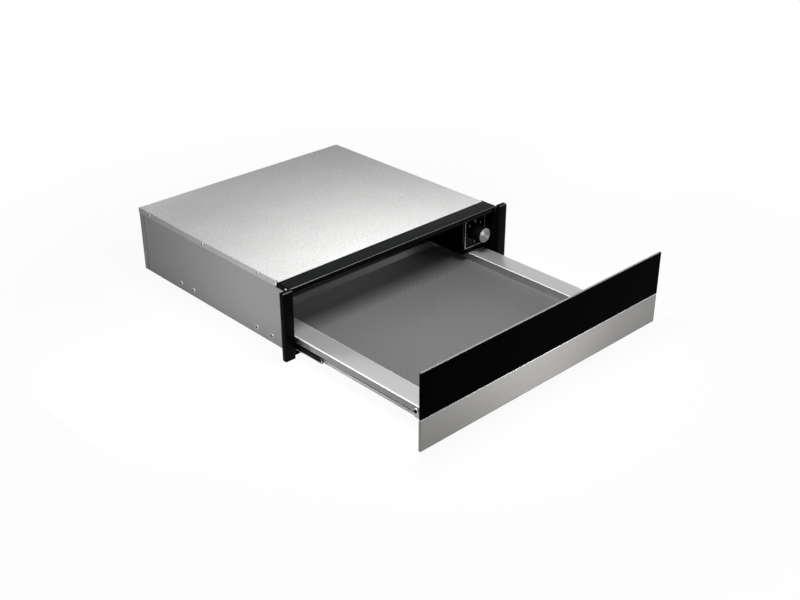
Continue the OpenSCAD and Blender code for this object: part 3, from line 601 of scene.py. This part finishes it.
def node_copy(node, name, width, steps=2, limit=40):
    """A copy of a CAD node with its loose triangles merged and its sharp edges softened."""
    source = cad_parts[node]
    deselect()
    piece = bpy.data.objects.new(name, source.data.copy())
    bpy.context.scene.collection.objects.link(piece)
    merge(piece, lambda: bpy.ops.mesh.dissolve_limited(angle_limit=math.radians(1)))
    soften(piece, width, steps, limit)
    return piece


def dress(node, name, width, body, slot, look=None, steps=2, limit=40):
    """Puts a softened copy of a CAD node in its place, with its slot's finish or another."""
    finish_piece(node_copy(node, name, width, steps, limit), body, [look or slot], node)


def join(pieces, name):
    activate(pieces[0])
    for piece in pieces:
        piece.select_set(True)
    bpy.ops.object.join()
    return settle(name)


def duplicate(piece, matrix):
    """A copy with its own mesh, moved by a matrix and turned the right way out."""
    copy = bpy.data.objects.new(piece.name, piece.data.copy())
    bpy.context.scene.collection.objects.link(copy)
    copy.data.transform(matrix)
    if matrix.determinant() < 0:
        copy.data.flip_normals()
    return copy


def spread_copies(piece, places):
    """Copies of a piece at each place, in place of the piece itself."""
    copies = [duplicate(piece, Matrix.Translation(place)) for place in places]
    bpy.data.objects.remove(piece)
    return copies


def both_sides(right, stem):
    """Names a right-hand piece, and adds its mirrored copy for the left."""
    left = duplicate(right, MIRROR)
    right.name, left.name = f"{stem}_right", f"{stem}_left"
    return (right, "right", 1), (left, "left", -1)


# Casing

def build_cover():
    """Top cover: flat sheet with its sides and back folded down, and its lock tabs."""
    low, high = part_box("top_cover")
    form = shapes()
    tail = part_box("front_top_rail")[1].y
    start = low.y + 0.3 * MM
    top = high.z - form.bend - form.sheet
    piece = plate("cover_sheet", (low.x, low.y, high.z), (high.x, high.y, high.z))
    edit(piece)
    cut(1, start)
    pick(piece, lambda e: e.is_boundary and (on(1, high.y)(e) or (
        on(0, low.x, high.x)(e) and middle(e).y > start)))
    push((0, 0, low.z - high.z))
    round_bends(piece, form.bend)
    done()
    thicken(piece, form.sheet)
    notch = slab("notch", (high.x - form.relief, tail, high.z - form.relief),
                 (high.x + 1 * MM, tail + form.relief, high.z + 1 * MM))
    for cutter in (duplicate(notch, MIRROR), notch):
        carve(piece, cutter)
    soften(piece, form.edge, 1, 60)
    finish_piece(piece, "casing", ["galvanised", "cover_flange"], "top_cover")
    paint_faces(piece, lambda f: f.center.z <= top and abs(f.normal.z) <= 0.9)
    rail_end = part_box("front_top_rail")[1].x
    # Tabs in the lighter zinc: painted highlight; slabs behind the notches in matt black: painted
    # shade
    for name, inner, outer, slot, look in (
            ("cover_tabs", (rail_end - 0.1 * MM, 2.2 * MM, high.z - 6.2 * MM),
             (rail_end + 0.7 * MM, tail, high.z - 1.4 * MM), "zinc", "bright_zinc"),
            ("notch_backs", (high.x - form.relief, tail, high.z - form.relief),
             (high.x - 0.4 * MM, tail + form.relief, high.z - 0.9 * MM), "black_paint",
             "black_matt")):
        tab = slab(name, inner, outer)
        soften(tab, CAST_EDGE)
        finish_piece(join([duplicate(tab, MIRROR), tab], name), "casing", [look])


def build_sides():
    """Side panels: front flange turned out, joggle and tongue at the back."""
    low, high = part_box("right_side_panel")
    form = shapes()
    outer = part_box("top_cover")[1].x - form.sheet
    rail_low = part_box("front_top_rail")[0].z
    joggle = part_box("back_panel")[0].y - 2.6 * MM
    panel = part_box("control_panel")[1].y
    foot = low.z + 1 * MM
    piece = plate("side_sheet", (outer, low.y, low.z), (outer, joggle, high.z))
    edit(piece)
    cut(1, panel)
    cut(2, rail_low - 0.3 * MM, foot)
    pick(piece, lambda e: on(1, low.y)(e) and middle(e).z < rail_low)
    push((high.x - outer, 0, 0))
    pick(piece, lambda e: on(1, joggle)(e) and middle(e).z > foot)
    push((-form.sheet, 0, 0))
    push((0, high.y - joggle, 0))
    flange_bend, joggle_bend = 0.7 * MM, 0.35 * MM
    round_bends(piece, flange_bend, 3, lambda e: is_bend(e) and e.verts[0].co.y < 0)
    round_bends(piece, joggle_bend, 2, lambda e: is_bend(e) and e.verts[0].co.y > 0)
    done()
    thicken(piece, form.sheet)
    soften(piece, form.edge, 1, 60)
    for sheet, name, side in both_sides(piece, "side_sheet"):
        finish_piece(sheet, "casing", ["plain_steel", "black_paint"],
                     f"{name}_side_panel")
        # Faces outside the sheet, and inner faces in front of the control panel, are painted black
        paint_faces(sheet, lambda f: abs(f.center.x) > outer + 0.1 * MM or (
            f.normal.x * side < -0.3 and f.center.y < panel))


def build_base():
    """Bottom plate with four pressed beads and its sides folded up."""
    low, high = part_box("bottom_plate")
    form = shapes()
    bead, half, slope = 16 * MM, 190 * MM, 4 * MM
    bead_bend, fold_bend, sheet = 1.2 * MM, 0.8 * MM, 1 * MM
    tail = high.y - bead
    piece = plate("base_sheet", (low.x, low.y, low.z), (high.x, high.y, low.z))
    edit(piece)
    bpy.ops.mesh.select_all(action="SELECT")
    bpy.ops.mesh.flip_normals()
    rows = [low.y + (high.y - low.y) * share for share in (0.17, 0.39, 0.61, 0.83)]
    for row in rows:
        cut(1, row - bead / 2, row + bead / 2)
    cut(0, -half, half)
    cut(1, tail)
    pick(piece, lambda f: abs(middle(f).x) < half and any(
        abs(middle(f).y - row) < bead / 4 for row in rows), "faces")
    bpy.ops.mesh.inset(thickness=slope, use_individual=True)
    bpy.ops.transform.translate(value=(0, 0, form.bead_height))
    bevel(piece, bead_bend, 2, lambda e: is_bend(e, 10))
    pick(piece, lambda e: e.is_boundary and middle(e).y < tail and on(0, low.x, high.x)(e))
    push((0, 0, high.z - low.z))
    round_bends(piece, fold_bend, 2, lambda e: is_bend(e, 60))
    done()
    thicken(piece, sheet)
    finish_piece(piece, "casing", ["plain_steel"], "bottom_plate")


def build_back():
    """Back panel with its vent slots, and a pressed boss near each corner."""
    dress("back_panel", "back_sheet", shapes().edge, "casing", "plain_steel", steps=1)
    radius, half, rounding = 9 * MM, 0.55 * MM, 0.5 * MM
    boss = rod("boss", (0, -half, 0), (0, half, 0), radius, 24)
    soften(boss, rounding, 3)
    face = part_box("back_panel")[1].y - 0.3 * MM
    columns, rows = (-225 * MM, 225 * MM), (18 * MM, 112 * MM)
    places = [(x, face, z) for x in columns for z in rows]
    finish_piece(join(spread_copies(boss, places), "back_bosses"), "casing",
                 ["plain_steel"])


def build_rails():
    """Black top rail with its lip and ends folded in one chain, and the foot rail."""
    low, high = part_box("front_top_rail")
    form = shapes()
    lip = low.z + 8 * MM
    piece = plate("top_rail_sheet", (low.x, low.y, high.z), (high.x, 0, high.z))
    edit(piece)
    pick(piece, lambda e: e.is_boundary and not on(1, 0)(e))
    push((0, 0, low.z - high.z))
    pick(piece, lambda e: on(1, 0)(e) and abs(middle(e).x) > high.x - TINY)
    push((0, high.y, 0))
    pick(piece, lambda v: v.co.y > high.y - TINY and v.co.z > high.z - TINY, "verts")
    bpy.ops.transform.translate(value=(0, 0, -form.sheet - 0.1 * MM))
    round_bends(piece, form.frame_bend, 4)
    done()
    thicken(piece, form.sheet)
    soften(piece, form.edge, 1, 60)
    finish_piece(piece, "casing", ["black_paint", "rail_top", "worn_edge"],
                 "front_top_rail")
    # Faces on the top front bend take the painted edge highlight, faces that look up take the
    # painted light
    paint_faces(piece, lambda f: 2 if f.normal.z > 0.3 and f.normal.y < -0.3
                and f.center.z > lip else f.normal.z > 0.7)

    low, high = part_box("front_bottom_rail")
    foot = plate("foot_rail_sheet", (low.x, low.y, low.z), (high.x, low.y, high.z))
    edit(foot)
    pick(foot, on(2, low.z, high.z))
    push((0, high.y - low.y, 0))
    foot_bend = 0.8 * MM
    round_bends(foot, foot_bend)
    bpy.ops.mesh.select_all(action="SELECT")
    bpy.ops.mesh.normals_make_consistent(inside=False)
    done()
    face_front(foot, (0, low.y, (low.z + high.z) / 2))
    thicken(foot, form.sheet)
    finish_piece(foot, "casing", ["black_paint"], "front_bottom_rail")


def face_front(piece, place):
    """Turns an open surface so that its face nearest a place looks to the front."""
    near = min(piece.data.polygons, key=lambda f: (f.center - Vector(place)).length)
    if near.normal.y > 0:
        piece.data.flip_normals()


def build_uprights():
    """Uprights: deep-drawn black channels, open at the back, with two posts inside."""
    low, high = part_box("right_upright")
    sheet, bend, post_radius = 1.2 * MM, 1.6 * MM, 3.5 * MM
    piece = slab("upright", low, high)
    edit(piece, "FACE")
    pick(piece, on(1, high.y), "faces")
    bpy.ops.mesh.delete(type="FACE")
    round_bends(piece, bend, 4)
    done()
    thicken(piece, sheet)
    centre = (low.x + high.x) / 2
    posts = [rod("post", (centre, low.y + 1 * MM, z), (centre, high.y, z), post_radius, 32)
             for z in (high.z * share for share in POST_SHARES)]
    for upright, name, _ in both_sides(join([piece, *posts], "upright"), "upright"):
        finish_piece(upright, "casing", ["black_paint", "worn_edge"],
                     f"{name}_upright")
        # The top front bend faces take the painted highlight
        paint_faces(upright, lambda f: f.normal.z > 0.35 and f.normal.y < -0.35
                    and f.center.z > high.z * 0.9)


# Screws

def socket_head(radius, height):
    """Pan head with a domed rim and a sunk socket, its seat at the origin, facing right."""
    rim, socket, depth, dome = radius * 0.42, radius * 0.59, height * 0.7, height * 0.5
    deselect()
    bpy.ops.mesh.primitive_cylinder_add(vertices=32, radius=radius, depth=height,
                                        location=(0, 0, height / 2))
    head = settle("head")
    edit(head, "FACE")
    pick(head, on(2, height), "faces")
    bpy.ops.mesh.inset(thickness=rim)
    push((0, 0, -depth))
    bevel(head, dome, 4, lambda e: on(2, height)(e) and middle(e).length > radius * 0.8)
    done()
    paint(head, "bright_zinc", "black_matt")
    # The socket's faces are painted black: painted shade in the recess
    paint_faces(head, lambda f: f.center.z > 0.1 * height and f.center.xy.length < socket)
    head.data.transform(OUT_RIGHT)
    return head


def side_screws(node, name, radius, height, seat, places, body):
    """Heads on both sides of the casing or drawer, from their Y and Z places at the right."""
    right = spread_copies(socket_head(radius, height), [(seat, y, z) for y, z in places])
    left = [duplicate(piece, MIRROR) for piece in right]
    shank_end = seat - 1.6 * MM
    shanks = [rod("shank", (side * shank_end, y, z), (side * seat, y, z), radius * 0.5, 16, "X")
              for side in (-1, 1) for y, z in places]
    for shank in shanks:
        # The shanks take the lighter zinc: painted light
        paint(shank, "bright_zinc")
    finish_piece(join([*right, *left, *shanks], name), body, (), node)


def solid_places(node):
    """Y and Z of a node's separate solids at the right side, from its vertices."""
    points = [v.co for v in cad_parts[node].data.vertices if v.co.x > 0]
    groups = []
    for point in points:
        for group in groups:
            if (group[0] - point).length < ONE_SOLID:
                group.append(point)
                break
        else:
            groups.append([point])
    return sorted([round((min(p[i] for p in g) + max(p[i] for p in g)) / 2, 4) for i in (1, 2)]
                  for g in groups)


def build_screws():
    """Pan-head screws of the casing, runners and rail, and the drawer's side bolts."""
    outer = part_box("top_cover")[1].x
    sheet = shapes().sheet
    for node, name, radius, height, seat, body in (
            ("cover_screws", "cover_heads", 2.7, 1.1, outer, "casing"),
            ("rail_screws", "rail_heads", 2.6, 1.8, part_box("front_top_rail")[1].x, "casing"),
            ("back_screws", "wrap_heads", 2.7, 1.1, outer - sheet, "casing"),
            ("runner_screws", "runner_heads", 3.8, 2.0, outer - sheet, "casing"),
            ("tray_bolts", "tray_bolt_heads", 5.0, 2.0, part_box("tray")[1].x, "drawer")):
        side_screws(node, name, radius * MM, height * MM, seat, solid_places(node), body)


def build_small_parts():
    """Fasteners that face along Y, rivets and bumpers: softened copies of their solids."""
    for node, name, slot, body in (
            ("upright_screws", "upright_heads", "zinc", "casing"),
            ("motor_screws", "motor_heads", "zinc", "casing"),
            ("carrier_screws", "carrier_heads", "zinc", "drawer"),
            ("runner_rivets", "rivet_heads", "zinc", "drawer"),
            ("door_bumpers", "bumper_pads", "bumper", "drawer")):
        dress(node, name, CAST_EDGE, body, slot)


# Control

def build_control():
    """Glossy panel, its printed frame and numbers, and the housing and regulator behind it."""
    form = shapes()
    dress("control_panel", "control_plate", 0.35 * MM, "casing", "black_gloss")
    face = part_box("control_panel")[0].y
    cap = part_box("knob_cap")
    centre = (cap[0] + cap[1]) / 2
    half_width, half_height, wide, thin = 27.4 * MM, 30.2 * MM, 1.3 * MM, 0.715 * MM
    left, right = centre.x - half_width, centre.x + half_width
    low, high = centre.z - half_height, centre.z + half_height
    ink_front, ink_back = face - 0.08 * MM, face + 0.05 * MM
    marks = [slab("bar", (x0, ink_front, z0), (x1, ink_back, z1))
             for x0, x1, z0, z1 in (
                 (left, left + wide, low, high), (right - wide, right, low, high),
                 (left, right, low, low + thin), (left, right, high - thin, high))]
    for number in range(6):
        # Zero stands below, and the others follow clockwise after an empty eighth of the ring
        turn = math.radians(180 + 45 * (number + (number > 0)))
        x = centre.x + form.mark_ring * math.sin(turn)
        z = centre.z + form.mark_ring * math.cos(turn)
        deselect()
        bpy.ops.object.text_add(location=(x, face, z), rotation=(math.pi / 2, 0, 0))
        words = bpy.context.object.data
        words.body = str(number)
        words.size = form.mark_height * 1.35
        words.extrude = 0.06 * MM
        words.align_x = words.align_y = "CENTER"
        bpy.ops.object.convert(target="MESH")
        marks.append(settle("number"))
        merge(marks[-1], lambda: bpy.ops.mesh.dissolve_degenerate(threshold=WELD))
    finish_piece(join(marks, "dial_marks"), "casing", ["print"])
    dress("control_box", "control_housing", form.edge, "casing", "black_paint", steps=1)
    dress("regulator", "regulator_body", 0.5 * MM, "casing", "plain_steel")


def build_knob():
    """Fluted black knob with a spun metal face and its pointer dot."""
    form = shapes()
    low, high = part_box("control_knob")
    centre = (low + high) / 2
    radius = (high.x - low.x) / 2
    sides = form.grips * 2
    piece = rod("knob_body", (centre.x, low.y, centre.z), (centre.x, high.y, centre.z), radius,
                sides)
    edit(piece, "FACE")
    grip_front, grip_back = low.y + 2.5 * MM, high.y - 3 * MM
    flute_gap, flute_depth, rim, recess = 0.25 * MM, 0.45 * MM, 0.8 * MM, 1 * MM
    front_edge, back_edge = 0.35 * MM, 0.6 * MM
    cut(1, grip_front, grip_back)

    def flute(face):
        at = middle(face)
        angle = math.atan2(at.z - centre.z, at.x - centre.x) / (2 * math.pi) * sides
        return grip_front < at.y < grip_back and int(math.floor(angle + sides)) % 2 == 0
    pick(piece, flute, "faces")
    bpy.ops.mesh.inset(thickness=flute_gap, use_individual=True)
    bpy.ops.transform.shrink_fatten(value=-flute_depth)
    pick(piece, lambda f: on(1, low.y)(f) and len(f.verts) > 4, "faces")
    bpy.ops.mesh.inset(thickness=rim)
    push((0, recess, 0))
    hub = Vector((centre.x, low.y, centre.z))
    bevel(piece, front_edge, 3, lambda e: on(1, low.y)(e) and abs(
        (middle(e) - hub).length - radius) < 0.3 * MM)
    bevel(piece, back_edge, 2, on(1, high.y))
    done()
    finish_piece(piece, "knob", ["black_matt"], "control_knob")

    low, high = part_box("knob_cap")
    radius = (high.x - low.x) / 2
    cap_edge, dot_depth, dot_radius, dot_edge = 0.3 * MM, 0.4 * MM, 0.9 * MM, 0.1 * MM
    cap = rod("spun_face", (centre.x, low.y, centre.z), (centre.x, high.y, centre.z), radius, 96)
    edit(cap)
    bevel(cap, cap_edge, 2, on(1, low.y))
    done()
    pointer = rod("pointer_dot", (0, 0, 0), (0, dot_depth, 0), dot_radius, 24)
    pointer.data.transform(Matrix.Translation((
        centre.x, low.y - 0.05 * MM, centre.z + POINTER_SHARE * (radius + 0.8 * MM))))
    finish_piece(cap, "knob", ["spun_cap"], "knob_cap")
    soften(pointer, dot_edge)
    finish_piece(pointer, "knob", ["black_matt"])
    dress("regulator_shaft", "shaft_bar", 0.4 * MM, "knob", "zinc")


# Drawer

def build_tray():
    """Tray: one sheet with a sunk floor, lips at three sides and an upturned front edge."""
    form = shapes()
    low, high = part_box("tray")
    mat_low, mat_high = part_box("tray_mat")
    gap = 0.3 * MM
    top, lip, floor = 37.4 * MM, 24.6 * MM, mat_low.z
    floor_bend, lip_bend = 0.9 * MM, 2 * MM
    front, upturn = low.y + form.sheet, 235 * MM
    inside, wall_front, wall_back = mat_high.x + gap, mat_low.y - gap, mat_high.y + gap
    piece = plate("tray_sheet", (low.x, front, top), (high.x, high.y, top))
    edit(piece)
    cut(0, mat_low.x - gap, inside)
    cut(1, wall_front, wall_back)
    cut(0, -upturn, upturn)
    pick(piece, lambda e: e.is_boundary and (on(0, low.x, high.x)(e) or on(1, high.y)(e)))
    push((0, 0, lip - top))
    pick(piece, lambda e: e.is_boundary and on(1, front)(e) and abs(middle(e).x) < upturn
         and middle(e).z > top - TINY)
    push((0, 0, high.z - top))
    pick(piece, lambda f: abs(middle(f).x) < inside and wall_front < middle(f).y < wall_back
         and middle(f).z > top - TINY, "faces")
    push((0, 0, floor - top))
    round_bends(piece, form.tray_corner, 6, lambda e: is_bend(e) and abs(
        e.verts[0].co.z - e.verts[1].co.z) > 10 * MM and abs(middle(e).x) < inside + TINY)
    bevel(piece, floor_bend, 2, lambda e: is_bend(e, 60) and on(2, floor)(e))
    bevel(piece, form.tray_bend, 3, lambda e: is_bend(e, 60) and on(2, top)(e))
    round_bends(piece, lip_bend, 3, lambda e: is_bend(e, 60) and middle(e).z < top - 3 * MM
                and abs(middle(e).x) > inside + 20 * MM)
    done()
    thicken(piece, form.sheet)
    soften(piece, form.edge, 1, 60)
    # Where the rim and the rear wall of the sunk floor start to be painted in shade
    painted_shade_rim, painted_shade_wall = mat_high.y - 12 * MM, mat_high.y - 24 * MM
    looks = ["stainless", "mirror_steel", "bright_edge", "shaded_steel", "dark_zinc", "dim_steel"]
    finish_piece(piece, "drawer", looks, "tray")

    def look(face):
        """Rim and foot of the sunk walls, bends, outer sides, rear wall, walls, the rest."""
        at, normal = face.center, face.normal
        upper = at.z > top - 2 * MM
        if (at.y > painted_shade_rim and upper and abs(at.x) < inside + 1 * MM) or (
                abs(at.x) < inside + TINY and at.z < floor + floor_bend):
            return "dark_zinc"
        if 0.25 < abs(normal.x) < 0.97 and normal.z > 0.2 and upper:
            return "bright_edge"
        if abs(at.x) > high.x - form.tray_bend and abs(normal.x) > 0.9:
            return "shaded_steel"
        if abs(at.x) < inside + 0.4 * MM and at.z < top - 1 * MM:
            return "dim_steel" if at.y > painted_shade_wall else "mirror_steel"
        return "stainless"
    paint_faces(piece, lambda f: looks.index(look(f)))


def build_mat():
    """Mat cut to the floor with rounded corners."""
    low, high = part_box("tray_mat")
    piece = slab("mat_sheet", low, high)
    edit(piece)
    corner, top_edge = shapes().tray_corner - 1 * MM, 0.4 * MM
    bevel(piece, corner, 6, lambda e: not on(2, low.z, high.z)(e))
    bevel(piece, top_edge, 2, on(2, high.z))
    done()
    finish_piece(piece, "drawer", ["mat"], "tray_mat")


def build_front():
    """Front: black glass with ground edges over a folded steel strip, on its carrier."""
    form = shapes()
    low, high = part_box("glass_panel")
    glass = slab("glass_pane", low, high)
    edit(glass)
    bevel(glass, form.arris, 2, lambda e: True)
    done()
    finish_piece(glass, "drawer", ["black_glass", "glass_edge"], "glass_panel", 20)
    paint_faces(glass, lambda f: f.normal.z > 0.5)

    low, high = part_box("steel_strip")
    strip = plate("strip_sheet", (low.x, low.y, low.z), (high.x, low.y, high.z))
    edit(strip)
    pick(strip, lambda e: e.is_boundary)
    push((0, high.y - low.y, 0))
    strip_bend = 1.5 * MM
    round_bends(strip, strip_bend, 4)
    done()
    face_front(strip, (0, low.y, low.z))
    thicken(strip, form.sheet)
    finish_piece(strip, "drawer", ["strip", "bright_edge"], "steel_strip")
    # The strip's top bend takes the painted highlight
    paint_faces(strip, lambda f: f.normal.z > 0.2 and f.center.z > high.z - 1.8 * MM)
    dress("front_carrier", "carrier_sheet", form.edge, "drawer", "black_paint", steps=1)


def build_brackets():
    """Brackets at the front and supports under the tray's flanges."""
    for side in ("left", "right"):
        dress(f"panel_bracket_{side}", f"bracket_{side}", 0.3 * MM, "drawer", "stainless")
        # The supports take the lighter zinc: painted light
        dress(f"runner_support_{side}", f"support_{side}", 0.25 * MM, "drawer", "zinc",
              "bright_zinc")


def build_runners():
    """Runners: softened channels, and their cages with the balls."""
    for side in ("left", "right"):
        for part, body, look in (("outer", "casing", "zinc"),
                                 ("middle", f"middle_{side}", "black_matt"),
                                 ("inner", "drawer", "bright_zinc")):
            node = f"runner_{part}_{side}"
            channel = node_copy(node, f"channel_{part}_{side}", 0.3 * MM)
            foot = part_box(node)[0].z + 2.2 * MM
            edit(channel)
            cut(2, foot)
            done()
            # The middle channels are matt black as painted shade, with their front faces and feet
            # in the lighter zinc as painted highlight; the inner channels take the lighter zinc as
            # painted light
            finish_piece(channel, body, [look, "bright_zinc"], node)
            paint_faces(channel, lambda f: part == "middle" and (
                f.normal.y < -0.7 or f.center.z < foot))
        for part in ("outer", "inner"):
            dress(f"ball_cage_{part}_{side}", f"cage_{part}_{side}", 0.08 * MM,
                  f"{part}_balls_{side}", "plain_steel", "zinc", 1, 60)


# Heating and wiring

def build_heating():
    """Air box, fan, heating ring, wiring and the cable gland, as softened copies."""
    for node, name, body, slot, *look in (
            ("air_box", "air_box_sheet", "casing", "plain_steel"),
            ("motor_plate", "motor_plate_sheet", "casing", "galvanised"),
            ("fan_motor", "motor_body", "casing", "galvanised"),
            ("heating_element", "heating_ring", "casing", "plain_steel", "heater"),
            ("thermal_cutout", "cutout_disc", "casing", "zinc"),
            ("terminal_block", "terminal_body", "casing", "ceramic"),
            ("cable_gland", "gland_body", "casing", "black_matt"),
            ("wiring_loom", "loom_sleeve", "casing", "sleeve"),
            ("loom_clips", "loom_clip_set", "casing", "ceramic"),
            ("heater_lead", "lead_sleeve", "casing", "sleeve"),
            ("fan_wheel", "wheel_body", "fan", "galvanised"),
            ("fan_shaft", "fan_shaft_bar", "fan", "zinc")):
        width = 0.15 * MM if node in ("air_box", "motor_plate", "fan_wheel") else 0.4 * MM
        dress(node, name, width, body, slot, *look, steps=1)


# Stage

def aim(thing, direction):
    """Turns a lamp or camera so that it looks along a direction, with its top up."""
    thing.rotation_mode = "QUATERNION"
    thing.rotation_quaternion = direction.to_track_quat("-Z", "Y")


def build_stage():
    """Pale floor, soft lamps, white surroundings and the camera."""
    look = bpy.context.scene.drawer_stage
    deselect()
    bpy.ops.mesh.primitive_plane_add(size=14, location=(0, 0, -0.1 * MM))
    floor = bpy.context.object
    floor.name = "floor"
    finish = Finish("floor", Base_Color=(*look.floor_colour, 1), Roughness=0.9,
                    Specular_IOR_Level=0.0)
    faded = finish.spread(finish.distance(finish.coordinates), look.shadow_near, look.shadow_far)
    glow = finish.node("ShaderNodeEmission", {}, {"Color": (1, 1, 1, 1), "Strength": 1.0})
    mixed = finish.node("ShaderNodeMixShader", {}, {
        0: finish.seen() * (faded * look.shadow + (1 - look.shadow)),
        1: Value(finish, finish.shader.outputs[0]), 2: glow})
    finish.tree.links.new(mixed.socket, finish.tree.nodes["Material Output"].inputs[0])
    floor.data.materials.append(finish.material)

    world = bpy.data.worlds.new("surroundings")
    bpy.context.scene.world = world
    world.use_nodes = True
    background = world.node_tree.nodes["Background"]
    background.inputs["Color"].default_value = (1, 1, 1, 1)
    strength = Nodes(world.node_tree).seen() * (1 - look.sky) + look.sky
    world.node_tree.links.new(strength.socket, background.inputs["Strength"])

    for name, place, target, size in LAMPS:
        deselect()
        bpy.ops.object.light_add(type="AREA", location=place)
        lamp = bpy.context.object
        lamp.name = f"{name}_lamp"
        lamp.data.shape = "RECTANGLE"
        lamp.data.size, lamp.data.size_y = size
        lamp.data.energy = getattr(look, f"{name}_light")
        lamp.visible_glossy = name != "inner"
        aim(lamp, Vector(target) - Vector(place))

    azimuth, elevation = math.radians(CAMERA_AZIMUTH), math.radians(CAMERA_ELEVATION)
    back = Vector((math.sin(azimuth) * math.cos(elevation),
                   -math.cos(azimuth) * math.cos(elevation), math.sin(elevation)))
    deselect()
    bpy.ops.object.camera_add(location=CAMERA_TARGET + back * CAMERA_DISTANCE)
    camera = bpy.context.object
    aim(camera, -back)
    camera.data.sensor_width, camera.data.lens = CAMERA_SENSOR, CAMERA_LENS
    bpy.context.scene.camera = camera
    bpy.context.scene.view_settings.view_transform = "Standard"


# Operators and panel

def operator(work):
    """An operator class that runs one builder, with the builder's name and words."""
    def execute(self, context):
        work()
        return {"FINISHED"}
    name = work.__name__.split("_", 1)[1]
    return type(f"DRAWER_OT_{name}", (bpy.types.Operator,), {
        "__doc__": work.__doc__, "bl_idname": f"drawer.{name}", "execute": execute,
        "bl_label": name.replace("_", " ").capitalize(), "bl_options": {"REGISTER", "UNDO"}})


STEPS = [operator(work) for work in (
    make_finishes, build_cover, build_sides, build_base, build_back, build_rails, build_uprights,
    build_screws, build_small_parts, build_control, build_knob, build_tray, build_mat,
    build_front, build_brackets, build_runners, build_heating, build_stage)]


class DRAWER_PT_steps(bpy.types.Panel):
    """Lists the steps and their settings"""
    bl_idname = "DRAWER_PT_steps"
    bl_label = "Warming Drawer"
    bl_space_type = "VIEW_3D"
    bl_region_type = "UI"
    bl_category = "Warming Drawer"

    def draw(self, context):
        for step in STEPS:
            self.layout.operator(step.bl_idname)
        for name, group in SETTINGS:
            box = self.layout.box()
            settings = getattr(context.scene, name)
            for key in group.__annotations__:
                box.prop(settings, key)


def register():
    for name, group in SETTINGS:
        bpy.utils.register_class(group)
        setattr(bpy.types.Scene, name, bpy.props.PointerProperty(type=group))
    for step in (*STEPS, DRAWER_PT_steps):
        bpy.utils.register_class(step)


def unregister():
    for step in (DRAWER_PT_steps, *reversed(STEPS)):
        bpy.utils.unregister_class(step)
    for name, group in reversed(SETTINGS):
        delattr(bpy.types.Scene, name)
        bpy.utils.unregister_class(group)


def main():
    register()
    for step in STEPS:
        getattr(bpy.ops.drawer, step.bl_idname.split(".")[1])()


if __name__ == "__main__":
    main()
